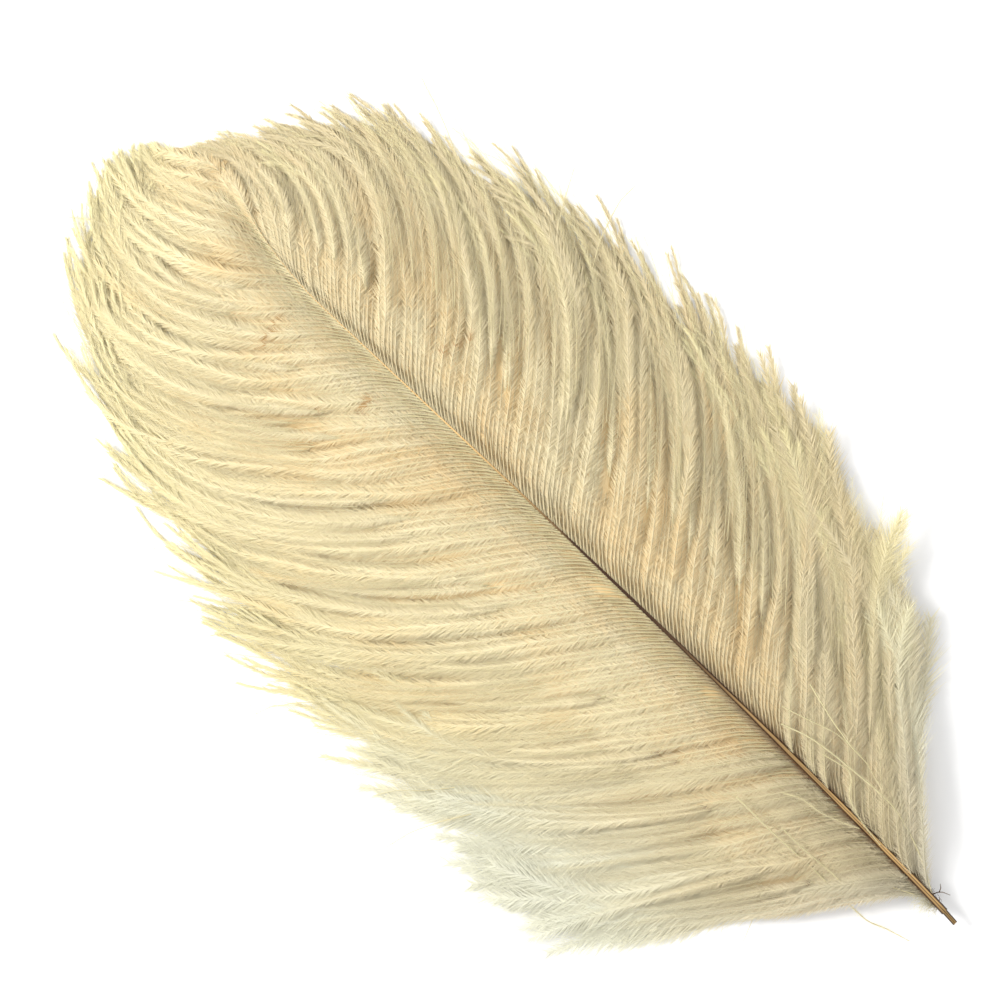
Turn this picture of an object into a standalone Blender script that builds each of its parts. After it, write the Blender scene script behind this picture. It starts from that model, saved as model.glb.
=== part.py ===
"""Ostrich feather lying on a table: one horny shaft with its soft vanes gathered in locks.

Metres, +Z up. The shaft runs along +Y from its cut foot, the narrower vane is at +X, and the
grooved side of the shaft faces up. The shape is worked out from the foot and then moved as a
whole, so that the origin is the bottom centre of the feather's box, on the table.
"""

import math
import random

import bmesh
import bpy
from mathutils import Vector
from mathutils.geometry import interpolate_bezier

# Shaft
SHAFT_LENGTH = 0.277
FOOT_HALF_WIDTH = 0.00105
MIDDLE_HALF_WIDTH = 0.00055
TIP_HALF_WIDTH = 0.00030
STUB_LENGTH = 0.0042            # narrower core, bare where the outer sheath was cut away
STUB_HALF_WIDTH = 0.00070
SHAFT_STATIONS = 24
SHAFT_CORNERS = 10
GROOVE_SHARE = 0.22             # depth of the groove along the top, against the half width
MIDDLE_SHARE = 0.5              # where along the shaft the middle half width is

# How the shaft lies
FOOT_HEIGHT = 0.0036            # height of its middle line above the table, at the foot
ARCH_HEIGHT = 0.0074            # what the arch adds near the middle of the feather
ARCH_SPAN = 0.300
ARCH_SKEW = 0.9                 # under 1, the arch is highest nearer to the foot
BOW = 0.0019                    # sideways bow towards the narrow vane
BOW_SPAN = 0.245
BOW_SKEW = 0.75
LEAN_START = 0.230
LEAN = 0.0090                   # how far the last stretch leans towards the narrow vane

# Vanes
LOCKS_A_SIDE = 26
FIRST_ROOT = 0.0085
LAST_ROOT = 0.262
ROOT_HUG = math.radians(18.0)   # where barbs leave the shaft, they lie this much closer to it
ROOT_RELAX = 0.0040             # and swing out to their own heading over this length
ROOT_THICKNESS = 0.0010
CREST_RISE = 0.0046             # the vanes rise this far above the shaft
CREST_REACH = 0.018             # at this distance from it
CREST_LENGTH = 0.060            # barbs shorter than this rise less
DROOP_START = 0.12              # share of the length where the vanes begin to come down
DROOP_SPAN = 0.78
TIP_TOP = 0.0013                # top of a lock's end above the table
EDGE_STAND = 0.0060             # the narrow vane's lowest locks end this much higher
EDGE_STAND_END = 0.095          # up to this root they are off the table
EDGE_THICKNESS = 0.0034
TOUCH_SHARE = 0.45              # beyond this share of their length the locks lie on the table
SEAM_DEPTH = 0.0017             # furrow between two locks
SEAM_START = 0.20
LEAST_THICKNESS = 0.0009
JOINED_SHARE = 0.60             # neighbouring locks are joined up to this share of their length
JOINED_ROWS = 6
FREE_ROWS = 5
ROW_CROWDING = 1.15
LOCK_STRETCH = (0.94, 1.05)     # shortest and longest lock against the vane's own outline
BARB_STEPS = 120

# Loose locks that lie over the vanes
LOOSE_A_SIDE = 8
LOOSE_START = 0.34
LOOSE_END = 1.03
LOOSE_ROWS = 8
LOOSE_HALF_WIDTH = 0.0032
LOOSE_THICKNESS = 0.0032
LOOSE_LIFT = 0.0010
LOOSE_JITTER = (0.3, 0.7)       # where in its own stretch of the shaft a loose lock has its root
LOOSE_LAST = 0.86               # share of the shaft's stretch of roots that they come from
LOOSE_BLUNTNESS = (0.08, 0.97)  # how far along its half wave the fullness starts and ends
LOOSE_EDGE_SHARE = 0.55         # height of the side edges between underside and top
TABLE_GAP = 0.0004

# Stray barbs that stand out past the outline: places they pass, from the foot
STRAY_ROUTES = (
    ((-0.0560, 0.1640, 0.0040), (-0.0660, 0.1780, 0.0016), (-0.0755, 0.1970, 0.0013),
     (-0.0868, 0.2097, 0.0010), (-0.0940, 0.2130, 0.0008)),
    ((-0.0600, 0.1450, 0.0032), (-0.0700, 0.1560, 0.0016), (-0.0782, 0.1634, 0.0012),
     (-0.0912, 0.1708, 0.0008)),
    ((-0.0580, 0.1040, 0.0018), (-0.0680, 0.1110, 0.0013), (-0.0787, 0.1174, 0.0011),
     (-0.0901, 0.1209, 0.0008)),
    ((0.0520, 0.1840, 0.0038), (0.0570, 0.1880, 0.0019), (0.0634, 0.1916, 0.0012),
     (0.0702, 0.1939, 0.0010), (0.0804, 0.1951, 0.0008)),
)
STRAY_ROWS = 3                  # rings between two places of a route
STRAY_CORNERS = 6
STRAY_HALF_WIDTHS = (0.0008, 0.0005)

# How the barbs run at stations along the shaft: the root's place on the shaft, the barb's
# length, its heading where it leaves and where it ends (degrees outwards from the shaft's
# own direction), and how late along its length it turns
NARROW_VANE = (
    (0.008, 0.076, 44, 45, 1.0),
    (0.040, 0.096, 50, 36, 1.5),
    (0.090, 0.103, 55, 26, 2.0),
    (0.150, 0.100, 57, 12, 2.0),
    (0.200, 0.083, 55, -7, 1.8),
    (0.240, 0.052, 52, -30, 1.5),
    (0.262, 0.031, 44, -28, 1.2),
)
WIDE_VANE = (
    (0.008, 0.100, 37, 63, 1.2),
    (0.020, 0.101, 49, 53, 1.2),
    (0.034, 0.102, 57, 42, 1.8),
    (0.055, 0.112, 56, 32, 2.0),
    (0.095, 0.124, 55, 20, 2.2),
    (0.150, 0.126, 54, -4, 2.2),
    (0.200, 0.106, 53, -27, 2.0),
    (0.240, 0.067, 50, -32, 1.6),
    (0.262, 0.034, 32, 10, 1.2),
)

SIDES = ((1, NARROW_VANE), (-1, WIDE_VANE))
SEED = 11
SHARP_EDGE = math.radians(40)
HORN_COLOUR = (0.36, 0.19, 0.075, 1.0)
HORN_ROUGHNESS = 0.4
PLUME_COLOUR = (0.76, 0.62, 0.39, 1.0)
PLUME_ROUGHNESS = 0.9


def smooth(t):
    """0 below 0, 1 above 1, and an S between."""
    t = min(max(t, 0.0), 1.0)
    return t * t * (3 - 2 * t)


def mix(a, b, share):
    return a + (b - a) * share


def make_material(name, colour, roughness):
    material = bpy.data.materials.new(name)
    material.use_nodes = True
    shader = material.node_tree.nodes["Principled BSDF"]
    shader.inputs["Base Color"].default_value = colour
    shader.inputs["Roughness"].default_value = roughness
    shader.inputs["Metallic"].default_value = 0.0
    return material


def shaft_middle(y):
    """A point of the shaft's middle line, at the distance y from the foot."""
    bowed = BOW * math.sin(math.pi * (min(y, BOW_SPAN) / BOW_SPAN) ** BOW_SKEW)
    leant = LEAN * (max(y - LEAN_START, 0.0) / (SHAFT_LENGTH - LEAN_START)) ** 2
    height = FOOT_HEIGHT + ARCH_HEIGHT * math.sin(math.pi * (y / ARCH_SPAN) ** ARCH_SKEW)
    return Vector((bowed + leant, y, height))


def shaft_half_width(share):
    """Half width of the sheathed shaft at a share of its length."""
    if share < MIDDLE_SHARE:
        return mix(FOOT_HALF_WIDTH, MIDDLE_HALF_WIDTH, share / MIDDLE_SHARE)
    return mix(MIDDLE_HALF_WIDTH, TIP_HALF_WIDTH, (share - MIDDLE_SHARE) / (1 - MIDDLE_SHARE))


def barb_rule(stations, root):
    """Length, leaving and end headings and lateness of the barb with this root."""
    low, high = stations[0], stations[1]
    for low, high in zip(stations, stations[1:]):
        if root <= high[0]:
            break
    share = (root - low[0]) / (high[0] - low[0])
    return [mix(a, b, share) for a, b in zip(low[1:], high[1:])]


def barb_plan(side, stations, root, shares):
    """Plan points of a barb at the given shares of its length."""
    length, leave, end, lateness = barb_rule(stations, root)
    step = shares[-1] / BARB_STEPS
    start = shaft_middle(root)
    points = [Vector((start.x, start.y, 0.0))]
    for index in range(BARB_STEPS):
        share = (index + 0.5) * step
        heading = math.radians(mix(leave, end, share ** lateness))
        heading -= ROOT_HUG * math.exp(-share * length / ROOT_RELAX)
        ahead = Vector((side * math.sin(heading), math.cos(heading), 0.0))
        points.append(points[-1] + ahead * (step * length))
    return [points[round(share / step)] for share in shares]


def tip_height(side, root):
    """Top of a lock's end: the narrow vane's lowest locks don't reach the table."""
    stand = smooth(1 - root / EDGE_STAND_END) if side > 0 else 0.0
    return TIP_TOP + EDGE_STAND * stand


def top_height(side, root, length, share):
    """The vanes' top: up from the shaft to a crest, then down to the lock's end."""
    start = shaft_middle(root).z
    rise = CREST_RISE * smooth(share * length / CREST_REACH) * smooth(length / CREST_LENGTH)
    return mix(start + rise, tip_height(side, root), smooth((share - DROOP_START) / DROOP_SPAN))


def bottom_height(side, root, share):
    """The vanes' underside, which reaches the table except under the raised locks."""
    end = max(tip_height(side, root) - EDGE_THICKNESS, 0.0)
    return mix(shaft_middle(root).z - ROOT_THICKNESS, end, smooth(share / TOUCH_SHARE))


def ribbon(side, plan, stations, root, shares, furrow):
    """Top and bottom points above a barb's plan, with the top lowered by the furrow."""
    length = barb_rule(stations, root)[0]
    tops, bottoms = [], []
    for place, share in zip(plan, shares):
        bottom = bottom_height(side, root, share)
        top = top_height(side, root, length, min(share, 1.0)) - furrow * smooth(share / SEAM_START)
        tops.append(place + Vector((0, 0, max(top, bottom + LEAST_THICKNESS))))
        bottoms.append(place + Vector((0, 0, bottom)))
    return tops, bottoms


class Skin:
    """Collects the points and faces of a closed surface."""

    def __init__(self):
        self.mesh = bmesh.new()

    def strand(self, points):
        return [self.mesh.verts.new(point) for point in points]

    def face(self, *corners):
        corners = list(dict.fromkeys(corners))
        if len(corners) > 2:
            self.mesh.faces.new(corners)

    def strip(self, first, second):
        """Faces between two strands that have the same number of points."""
        for row in range(len(first) - 1):
            self.face(first[row], first[row + 1], second[row + 1], second[row])

    def loft(self, rings):
        """Faces between rings of points, with both ends closed by a fan about their middle."""
        for first, second in zip(rings, rings[1:]):
            self.strip(first + first[:1], second + second[:1])
        for ring in (rings[0], rings[-1]):
            middle = self.mesh.verts.new(sum((point.co for point in ring), Vector()) / len(ring))
            for first, second in zip(ring, ring[1:] + ring[:1]):
                self.face(first, second, middle)

    def finish(self, name, material):
        bmesh.ops.triangulate(self.mesh, faces=self.mesh.faces)
        bmesh.ops.recalc_face_normals(self.mesh, faces=self.mesh.faces)
        data = bpy.data.meshes.new(name)
        self.mesh.to_mesh(data)
        self.mesh.free()
        data.materials.append(material)
        data.shade_smooth()
        data.set_sharp_from_angle(angle=SHARP_EDGE)
        made = bpy.data.objects.new(name, data)
        bpy.context.scene.collection.objects.link(made)
        return made


def add_lock(skin, seams, crest, shares):
    """One lock between two seams. Up to JOINED_ROWS it shares them with its neighbours, and
    beyond that its own edges close in on the crest and meet it at the tip."""
    joined = JOINED_ROWS + 1
    for seam in seams:
        edges = []
        for level in (0, 1):
            free = []
            for row in range(joined, len(shares) - 1):
                pull = smooth((shares[row] - JOINED_SHARE) / (1 - JOINED_SHARE))
                free.append(seam["points"][level][row].lerp(crest["points"][level][row], pull))
            edge = seam["strands"][level] + skin.strand(free) + crest["strands"][level][-1:]
            skin.strip(edge, crest["strands"][level])
            edges.append(edge[joined - 1:])
        skin.strip(*edges)


class Vanes:
    """Both vanes and the lock past the end of the shaft, as one closed surface."""

    def __init__(self):
        self.chance = random.Random(SEED)
        self.skin = Skin()
        self.shares = [JOINED_SHARE * (row / JOINED_ROWS) ** ROW_CROWDING for row in range(JOINED_ROWS)]
        self.shares += [mix(JOINED_SHARE, 1.0, row / FREE_ROWS) for row in range(FREE_ROWS + 1)]
        pitch = (LAST_ROOT - FIRST_ROOT) / LOCKS_A_SIDE
        self.seam_roots = [FIRST_ROOT + pitch * index for index in range(LOCKS_A_SIDE + 1)]
        self.crest_roots = [root + pitch / 2 for root in self.seam_roots[:-1]]
        self.seam_hearts = [self.make_heart(root) for root in self.seam_roots]
        self.crest_hearts = [self.make_heart(root) for root in self.crest_roots]

    def make_heart(self, root):
        """The top and bottom points on the shaft that both vanes share."""
        middle = shaft_middle(root)
        below = middle - Vector((0, 0, ROOT_THICKNESS))
        return self.skin.strand([middle]), self.skin.strand([below])

    def make_seam(self, side, stations, index):
        root = self.seam_roots[index]
        plan = barb_plan(side, stations, root, self.shares)
        points = ribbon(side, plan, stations, root, self.shares, SEAM_DEPTH)
        strands = []
        for heart, level in zip(self.seam_hearts[index], points):
            strands.append(heart + self.skin.strand(level[1:JOINED_ROWS + 1]))
        return {"points": points, "strands": strands}

    def make_crest(self, side, stations, index):
        stretch = self.chance.uniform(*LOCK_STRETCH)
        own = [share * mix(1.0, stretch, share) for share in self.shares]
        roots = self.seam_roots[index:index + 2]
        pair = [barb_plan(side, stations, root, own) for root in roots]
        plan = [(first + second) / 2 for first, second in zip(*pair)]
        points = ribbon(side, plan, stations, self.crest_roots[index], self.shares, 0.0)
        strands = []
        for heart, level in zip(self.crest_hearts[index], points):
            strands.append(heart + self.skin.strand(level[1:]))
        return {"points": points, "strands": strands}

    def add_side(self, side, stations):
        """One vane, lock by lock. Returns its last seam."""
        seams = [self.make_seam(side, stations, index) for index in range(LOCKS_A_SIDE + 1)]
        self.skin.strip(*seams[0]["strands"])
        for index in range(LOCKS_A_SIDE):
            crest = self.make_crest(side, stations, index)
            add_lock(self.skin, seams[index:index + 2], crest, self.shares)
        return seams[-1]

    def add_tip(self, last_seams):
        """The lock between the last seams of both vanes."""
        points, strands = [], []
        levels = zip(*(seam["points"] for seam in last_seams))
        for heart, (first, second) in zip(self.seam_hearts[-1], levels):
            middle = [(a + b) / 2 for a, b in zip(first, second)]
            points.append(middle)
            strands.append(heart + self.skin.strand(middle[1:]))
        add_lock(self.skin, last_seams, {"points": points, "strands": strands}, self.shares)


def make_vanes(material):
    vanes = Vanes()
    vanes.add_tip([vanes.add_side(side, stations) for side, stations in SIDES])
    return vanes.skin.finish("feather", material)


def make_shaft(material):
    """The horny shaft, grooved along its top, with the narrower stub at its cut foot."""
    skin = Skin()
    stations = [(0.0, STUB_HALF_WIDTH), (STUB_LENGTH, STUB_HALF_WIDTH)]
    for step in range(SHAFT_STATIONS + 1):
        share = step / SHAFT_STATIONS
        stations.append((mix(STUB_LENGTH, SHAFT_LENGTH, share), shaft_half_width(share)))
    rings = []
    for y, half in stations:
        section = []
        for corner in range(SHAFT_CORNERS):
            turn = math.pi / 2 + 2 * math.pi * corner / SHAFT_CORNERS
            reach = half * (1 - GROOVE_SHARE) if corner == 0 else half
            section.append(Vector((reach * math.cos(turn), 0.0, reach * math.sin(turn))))
        rings.append(skin.strand([shaft_middle(y) + point for point in section]))
    skin.loft(rings)
    return skin.finish("shaft", material)


def add_loose_lock(skin, side, stations, root):
    """A closed tapering body along a barb's path, a little above the vane's top."""
    shares = [mix(LOOSE_START, LOOSE_END, row / LOOSE_ROWS) for row in range(LOOSE_ROWS + 1)]
    length = barb_rule(stations, root)[0]
    plan = barb_plan(side, stations, root, shares)
    rings = []
    for row, (place, share) in enumerate(zip(plan, shares)):
        ahead = plan[min(row + 1, LOOSE_ROWS)] - plan[max(row - 1, 0)]
        across = Vector((ahead.y, -ahead.x, 0.0)).normalized()
        fullness = math.sin(math.pi * mix(*LOOSE_BLUNTNESS, row / LOOSE_ROWS))
        half = LOOSE_HALF_WIDTH * fullness
        top = top_height(side, root, length, min(share, 1.0)) + LOOSE_LIFT * fullness
        bottom = max(top - LOOSE_THICKNESS * fullness, TABLE_GAP)
        edge = mix(bottom, top, LOOSE_EDGE_SHARE)
        rings.append(skin.strand([
            place + Vector((0, 0, top)),
            place + across * half + Vector((0, 0, edge)),
            place + Vector((0, 0, bottom)),
            place - across * half + Vector((0, 0, edge)),
        ]))
    skin.loft(rings)


def make_loose_locks(material):
    """Locks that have come free and lie over the vanes."""
    chance = random.Random(SEED + 1)
    skin = Skin()
    for side, stations in SIDES:
        for index in range(LOOSE_A_SIDE):
            place = (index + chance.uniform(*LOOSE_JITTER)) / LOOSE_A_SIDE
            root = mix(FIRST_ROOT, LAST_ROOT, place) * LOOSE_LAST
            add_loose_lock(skin, side, stations, root)
    return skin.finish("loose_locks", material)


def smooth_route(places):
    """Points of a smooth curve through the places of a route."""
    places = [Vector(place) for place in places]
    padded = places[:1] + places + places[-1:]
    points = []
    for before, start, end, after in zip(padded, padded[1:], padded[2:], padded[3:]):
        leaving = start + (end - before) / 6
        arriving = end - (after - start) / 6
        points += interpolate_bezier(start, leaving, arriving, end, STRAY_ROWS + 1)[:-1]
    return points + places[-1:]


def add_stray(skin, route):
    """A thin closed body along a stray barb's route."""
    points = smooth_route(route)
    last = len(points) - 1
    rings = []
    for row, point in enumerate(points):
        ahead = points[min(row + 1, last)] - points[max(row - 1, 0)]
        across = Vector((ahead.y, -ahead.x, 0.0)).normalized()
        upward = across.cross(ahead).normalized()
        half = mix(*STRAY_HALF_WIDTHS, row / last)
        section = []
        for corner in range(STRAY_CORNERS):
            turn = 2 * math.pi * corner / STRAY_CORNERS
            section.append(point + (across * math.cos(turn) + upward * math.sin(turn)) * half)
        rings.append(skin.strand(section))
    skin.loft(rings)


def make_strays(material):
    """The stray barbs, which start inside the vanes and end past their outline."""
    skin = Skin()
    for route in STRAY_ROUTES:
        add_stray(skin, route)
    return skin.finish("strays", material)


def fuse(body, addition):
    """Joins the addition to the body, which becomes one solid."""
    addition.hide_render = True
    addition.display_type = "WIRE"
    union = body.modifiers.new("join " + addition.name, "BOOLEAN")
    union.operation = "UNION"
    union.material_mode = "TRANSFER"
    union.object = addition


def centre_on_table(things):
    """Moves the meshes so that the origin is the bottom centre of their common box."""
    corners = [vertex.co for thing in things for vertex in thing.data.vertices]
    middle = [(min(c[axis] for c in corners) + max(c[axis] for c in corners)) / 2 for axis in (0, 1)]
    for thing in things:
        for vertex in thing.data.vertices:
            vertex.co -= Vector((middle[0], middle[1], 0.0))


def main():
    for thing in list(bpy.data.objects):
        bpy.data.objects.remove(thing)
    plume = make_material("plume", PLUME_COLOUR, PLUME_ROUGHNESS)
    horn = make_material("horn", HORN_COLOUR, HORN_ROUGHNESS)
    feather = make_vanes(plume)
    additions = [make_shaft(horn), make_loose_locks(plume), make_strays(plume)]
    centre_on_table([feather, *additions])
    for addition in additions:
        fuse(feather, addition)


main()
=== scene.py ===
"""An ostrich feather lying on a pale table: shaft, barbs with their barbules, and loose barbs.

Metres, +Z up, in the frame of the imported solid. Named sizes are in millimetres and angles in
degrees. Places along the shaft are counted from its cut foot, and a share is a place along a
barb, from 0 at the shaft to 1 at the tip.
"""

import math
from typing import NamedTuple

import bpy
import numpy as np
from bpy.props import FloatProperty, FloatVectorProperty, IntProperty, PointerProperty
from bpy.types import Operator, Panel, PropertyGroup
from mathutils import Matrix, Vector


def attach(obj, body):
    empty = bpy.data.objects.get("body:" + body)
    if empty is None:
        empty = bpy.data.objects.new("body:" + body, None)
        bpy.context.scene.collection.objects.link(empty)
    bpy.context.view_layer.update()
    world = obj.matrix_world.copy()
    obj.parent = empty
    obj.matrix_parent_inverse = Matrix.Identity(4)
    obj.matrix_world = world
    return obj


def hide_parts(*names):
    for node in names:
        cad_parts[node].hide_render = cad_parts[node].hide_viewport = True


bl_info = {
    "name": "Ostrich feather",
    "version": (1, 0, 0),
    "blender": (4, 5, 0),
    "location": "3D View > Sidebar > Feather",
    "description": "Builds an ostrich feather barb by barb, with its shaft, stage and camera",
    "category": "Object",
}

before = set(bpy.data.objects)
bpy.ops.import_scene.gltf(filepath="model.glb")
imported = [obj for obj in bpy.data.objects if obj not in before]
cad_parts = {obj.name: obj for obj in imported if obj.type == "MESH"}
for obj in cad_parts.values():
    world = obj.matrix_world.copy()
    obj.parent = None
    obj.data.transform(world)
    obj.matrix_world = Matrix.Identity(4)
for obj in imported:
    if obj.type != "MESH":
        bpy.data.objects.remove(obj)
SOLID = "feather"
BODY = "root"
MM = 0.001
LEAST_LENGTH = 1e-12


def smooth(t):
    """0 below 0, 1 above 1, and an S between."""
    t = np.clip(t, 0.0, 1.0)
    return t * t * (3 - 2 * t)


def mix(a, b, share):
    return a + (b - a) * share


class Ramp(NamedTuple):
    """An S-shaped change from one value to another, over a span that begins at start."""

    start: float
    span: float
    before: float = 0.0
    after: float = 1.0

    def at(self, x):
        return mix(self.before, self.after, smooth((x - self.start) / self.span))


# How the shaft lies, as in the solid: arched over the table, bowed to one side, its tip leant
SHAFT_LENGTH = 277.0
FOOT_HEIGHT = 3.6
ARCH_HEIGHT = 7.4
ARCH_SPAN = 300.0
ARCH_SKEW = 0.9
BOW = 1.9
BOW_SPAN = 245.0
BOW_SKEW = 0.75
FOOT_SLICE = 0.2
LEAN_START = 230.0
LEAN = 9.0

# The shaft's section: its stub at the cut foot, its half widths as shares of the foot's radius,
# its height for its width, and its groove
STUB_LENGTH = 4.2
STUB_STEP = 0.05
SHAFT_STATIONS = 90
SHAFT_CORNERS = 28
HALF_WIDTH_PLACES = (0, STUB_LENGTH - 0.04, STUB_LENGTH, 60, 140, 190, 240, 258, SHAFT_LENGTH)
HALF_WIDTHS = (0.68, 0.68, 0.94, 0.70, 0.32, 0.20, 0.12, 0.06, 0.04)
SECTION_DEPTH = 1.1
GROOVE_DEPTH = 0.42
GROOVE_WIDTH = 0.34

# The shaft's light stripe along its top, two side by side near the foot, and the pale end of the shaft; its
# dark sides are partly the horn's own colour and partly painted shade
STRIPE_WIDTH = 0.36
TWIN_OFFSET = 0.33
TWIN_WIDTH = 0.2
TWIN_SHARE = ((0, 45, 85), (1.0, 1.0, 0.0))
STRIPE_STRENGTH = ((0, 30, 75, 110), (0.9, 0.9, 0.6, 0.0))
PALE_END = Ramp(135.0, 60.0)
CUT_TONE = 0.4

# Rows of the vanes' tables: root's place on the shaft and barb's length in millimetres,
# leaving and end headings in degrees off the shaft, and how late the barb turns
NARROW_VANE = np.array((
    (8, 76, 44, 45, 1.0),
    (40, 96, 50, 36, 1.5),
    (90, 103, 55, 26, 2.0),
    (150, 100, 57, 12, 2.0),
    (200, 83, 55, -7, 1.8),
    (240, 49, 52, -30, 1.5),
    (262, 25, 42, -42, 1.2),
    (277, 12, 14, -60, 1.0),
))
WIDE_VANE = np.array((
    (8, 100, 51, 60, 1.0),
    (20, 103, 56, 54, 1.2),
    (34, 106, 59, 43, 1.8),
    (55, 113, 56, 32, 2.0),
    (95, 125, 55, 19, 2.2),
    (150, 127, 54, -6, 2.2),
    (200, 107, 53, -31, 2.0),
    (240, 67, 50, -38, 1.6),
    (262, 35, 34, 4, 1.2),
    (277, 18, 48, 24, 1.2),
))
SIDES = (("narrow", 1, NARROW_VANE), ("wide", -1, WIDE_VANE))
LOOSE_SEED = 7
STATIONS = 41
SHARES = np.linspace(0.0, 1.0, STATIONS)
FIRST_ROOT = 9.0
LAST_ROOT = 275.5

# Barbs leave close to the shaft, by this angle, and open over this length
ROOT_HUG = 36.0
ROOT_RELAX = 4.5
CURL_SHARE = Ramp(0.6, 0.4)

# The vanes' top: up from the shaft to a crest, then down to the table, or, for the narrow vane's
# lowest barbs, to a height above it
CREST_RISE = 4.3
CREST_REACH = Ramp(0.0, 18.0)
CREST_LENGTH = Ramp(0.0, 60.0)
DROOP = Ramp(0.12, 0.78)
TIP_TOP = 1.4
EDGE_STAND = Ramp(0.0, 95.0, 6.0, 0.0)
TABLE_GAP = 0.12

# What each lock draws: ranges, spreads, or a mean with its spread
LOCK_SPACING = (0.4, 1.6)
LOCK_STRETCH = (0.97, 1.02)
LOCK_TURN = 4.5
TURN_CALM = Ramp(0.0, 90.0, 0.4, 1.0)
LOCK_CURL = (-15.0, 10.0)
LOCK_CURL_LIMIT = 2.0
LOCK_RIDGE = (0.5, 1.7)
LOCK_TILT = (0.6, 0.9)
LOCK_WAVE = (0.3, 1.3)
LOCK_WAVE_COUNT = (1.2, 2.8)
LOCK_WAVE_SHARE = Ramp(0.1, 0.5)
LOCK_GATHER = (0.25, 0.62)
LOCK_GATHER_START = (0.45, 0.68)
SWAY_LENGTHS = ((45, 95), (18, 50))
PUFF_LENGTHS = ((30, 90), (7, 25))
SWELLS = 5

# How a barb lies in its lock
ROOT_JITTER = 0.2
BARB_STRETCH = (0.91, 1.03)
BARB_CURL = 4.0
GATHER_SPAN = 0.5
GATHER_SHARE = Ramp(190.0, 60.0, 1.0, 0.5)
RIPPLE_COUNT = (1.5, 4.0)
RIPPLE_LEAST = 0.05
RIPPLE_SHARE = Ramp(0.0, 0.3)
SWAY = 1.1
SWAY_REACH = Ramp(8.0, 40.0)
LOFT = Ramp(0.0, 0.35)
LOCK_LIFT = 0.7
RIDGE_FALL = 7.0
PUFF = 0.6
PUFF_OWN = 0.45
SINK_SHARE = Ramp(0.03, 0.3)
UNDER_TOP = 0.9
BARB_GAP = TABLE_GAP + 0.2

# Tone goes from 0, pale, to 1, warm: shares of the lock, of the barb, of its height, which paints shade so
# that lower barbs are warmer and higher ones paler, and of puffs
LOCK_TONE = 0.3
BARB_TONE = 0.5
HOLLOW_SHADE_TONE = 0.25
RELIEF_MIDDLE = 0.5
PUFF_TONE = 0.12
PUFF_TONE_CROWDING = 3
# Stems keep only part of the tone, so they are paler: partly their own colour, partly painted highlight.
TUBE_TONE = 0.6

# Barbules by their share along the barb: first place, angle off the barb, hang below it, length
BARBULES_START = 0.012
BARBULES_SPAN = 0.983
FEWEST_BARBULES = 4
OPEN_ANGLE = Ramp(0.08, 0.45, 46.0, 25.0)
TIP_CLOSING = Ramp(0.72, 0.2, 0.0, 12.0)
OPEN_SPREAD = 3.5
HANG = Ramp(0.0, 0.4, -36.0, -14.0)
HANG_SPREAD = 14.0
ROOT_SIZE = Ramp(0.0, 0.14, 0.4, 1.0)
MIDDLE_SIZE = Ramp(0.2, 0.3, 1.0, 1.3)
TIP_SIZE = Ramp(0.8, 0.2, 1.0, 0.45)
SIZE_SPREAD = (0.7, 1.2)
TWIST_SPREAD = 0.35
BARBULE_TONE = 0.1
TONE_LIMITS = (-0.5, 1.5)

# Neighbouring barbules share a tuft's turn and tone
TUFTS = 400
TUFT_PITCH = 0.5
TUFT_ANGLE = 4.0
TUFT_TONE = 0.22

# The lowest barbs' ends are fluffier: their barbules stand wider and grow longer
FLUFF_ROOTS = Ramp(35.0, 60.0, 1.0, 0.0)
FLUFF_SHARE = Ramp(0.5, 0.3)
FLUFF_ANGLE = 16.0
FLUFF_SIZE = 1.1

# A barb's row in the bake map, and where a barbule's corners lie in it
BAKE_MAP = "OFBake"
TUBE_ROW = 0.35
TUBE_ROW_WIDTH = 0.3
BARBULE_ROWS = np.array((0.0, 0.06, 0.45))
BARBULE_SHARES = np.array((-0.002, 0.0, 0.01))
TUBE_TAPER = 0.2
TUBE_TAPER_POWER = 0.7

# The dense hearts of the locks, in two layers: offset between locks, depth and reach of each
HEART_LAYERS = ((0.0, 4.6, 0.88), (0.5, 6.2, 0.80))
HEART_ROOT_DEPTH = 2.3
HEART_SINK = Ramp(0.0, 0.15)
HEART_LOWEST = 0.45
HEART_WIDTH = 0.62
HEART_LEAST_STEP = 0.35
HEART_NARROWING = Ramp(0.3, 0.6, 1.0, 0.55)
HEART_END = Ramp(0.8, 0.2, 1.0, 0.0)
HEART_LEAST_WIDTH = 0.05
HEART_DEPTH = 0.35
HEART_LEAST_DEPTH = 0.1
HEART_CORNERS = 8
HEART_ALONG = 0.8


class Layer(NamedTuple):
    """How the barbs of one layer lie. Widths and pitches are shares of the upper layer's."""

    parts: int
    shift: float
    pull: float
    turn: float
    ripple: float
    sink: tuple
    drop: float
    warmth: float
    barbule_pitch: float
    barbule_width: float
    thinning: int


UPPER = Layer(parts=4, shift=0.0, pull=1.0, turn=1.6, ripple=0.4, sink=(0.0, 0.14), drop=0.0,
              warmth=0.0, barbule_pitch=1.0, barbule_width=1.0, thinning=2)
# The lower layer's warmth is painted shade under the upper barbs.
LOWER = Layer(parts=2, shift=0.5, pull=0.2, turn=4.5, ripple=0.8, sink=(0.2, 0.6), drop=0.6,
              warmth=0.6, barbule_pitch=2.3, barbule_width=2.0, thinning=4)


class Stray(NamedTuple):
    """A barb that has come loose: radius, its barbules' length, and the places it passes."""

    radius: float
    barbule: float
    route: tuple


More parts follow.
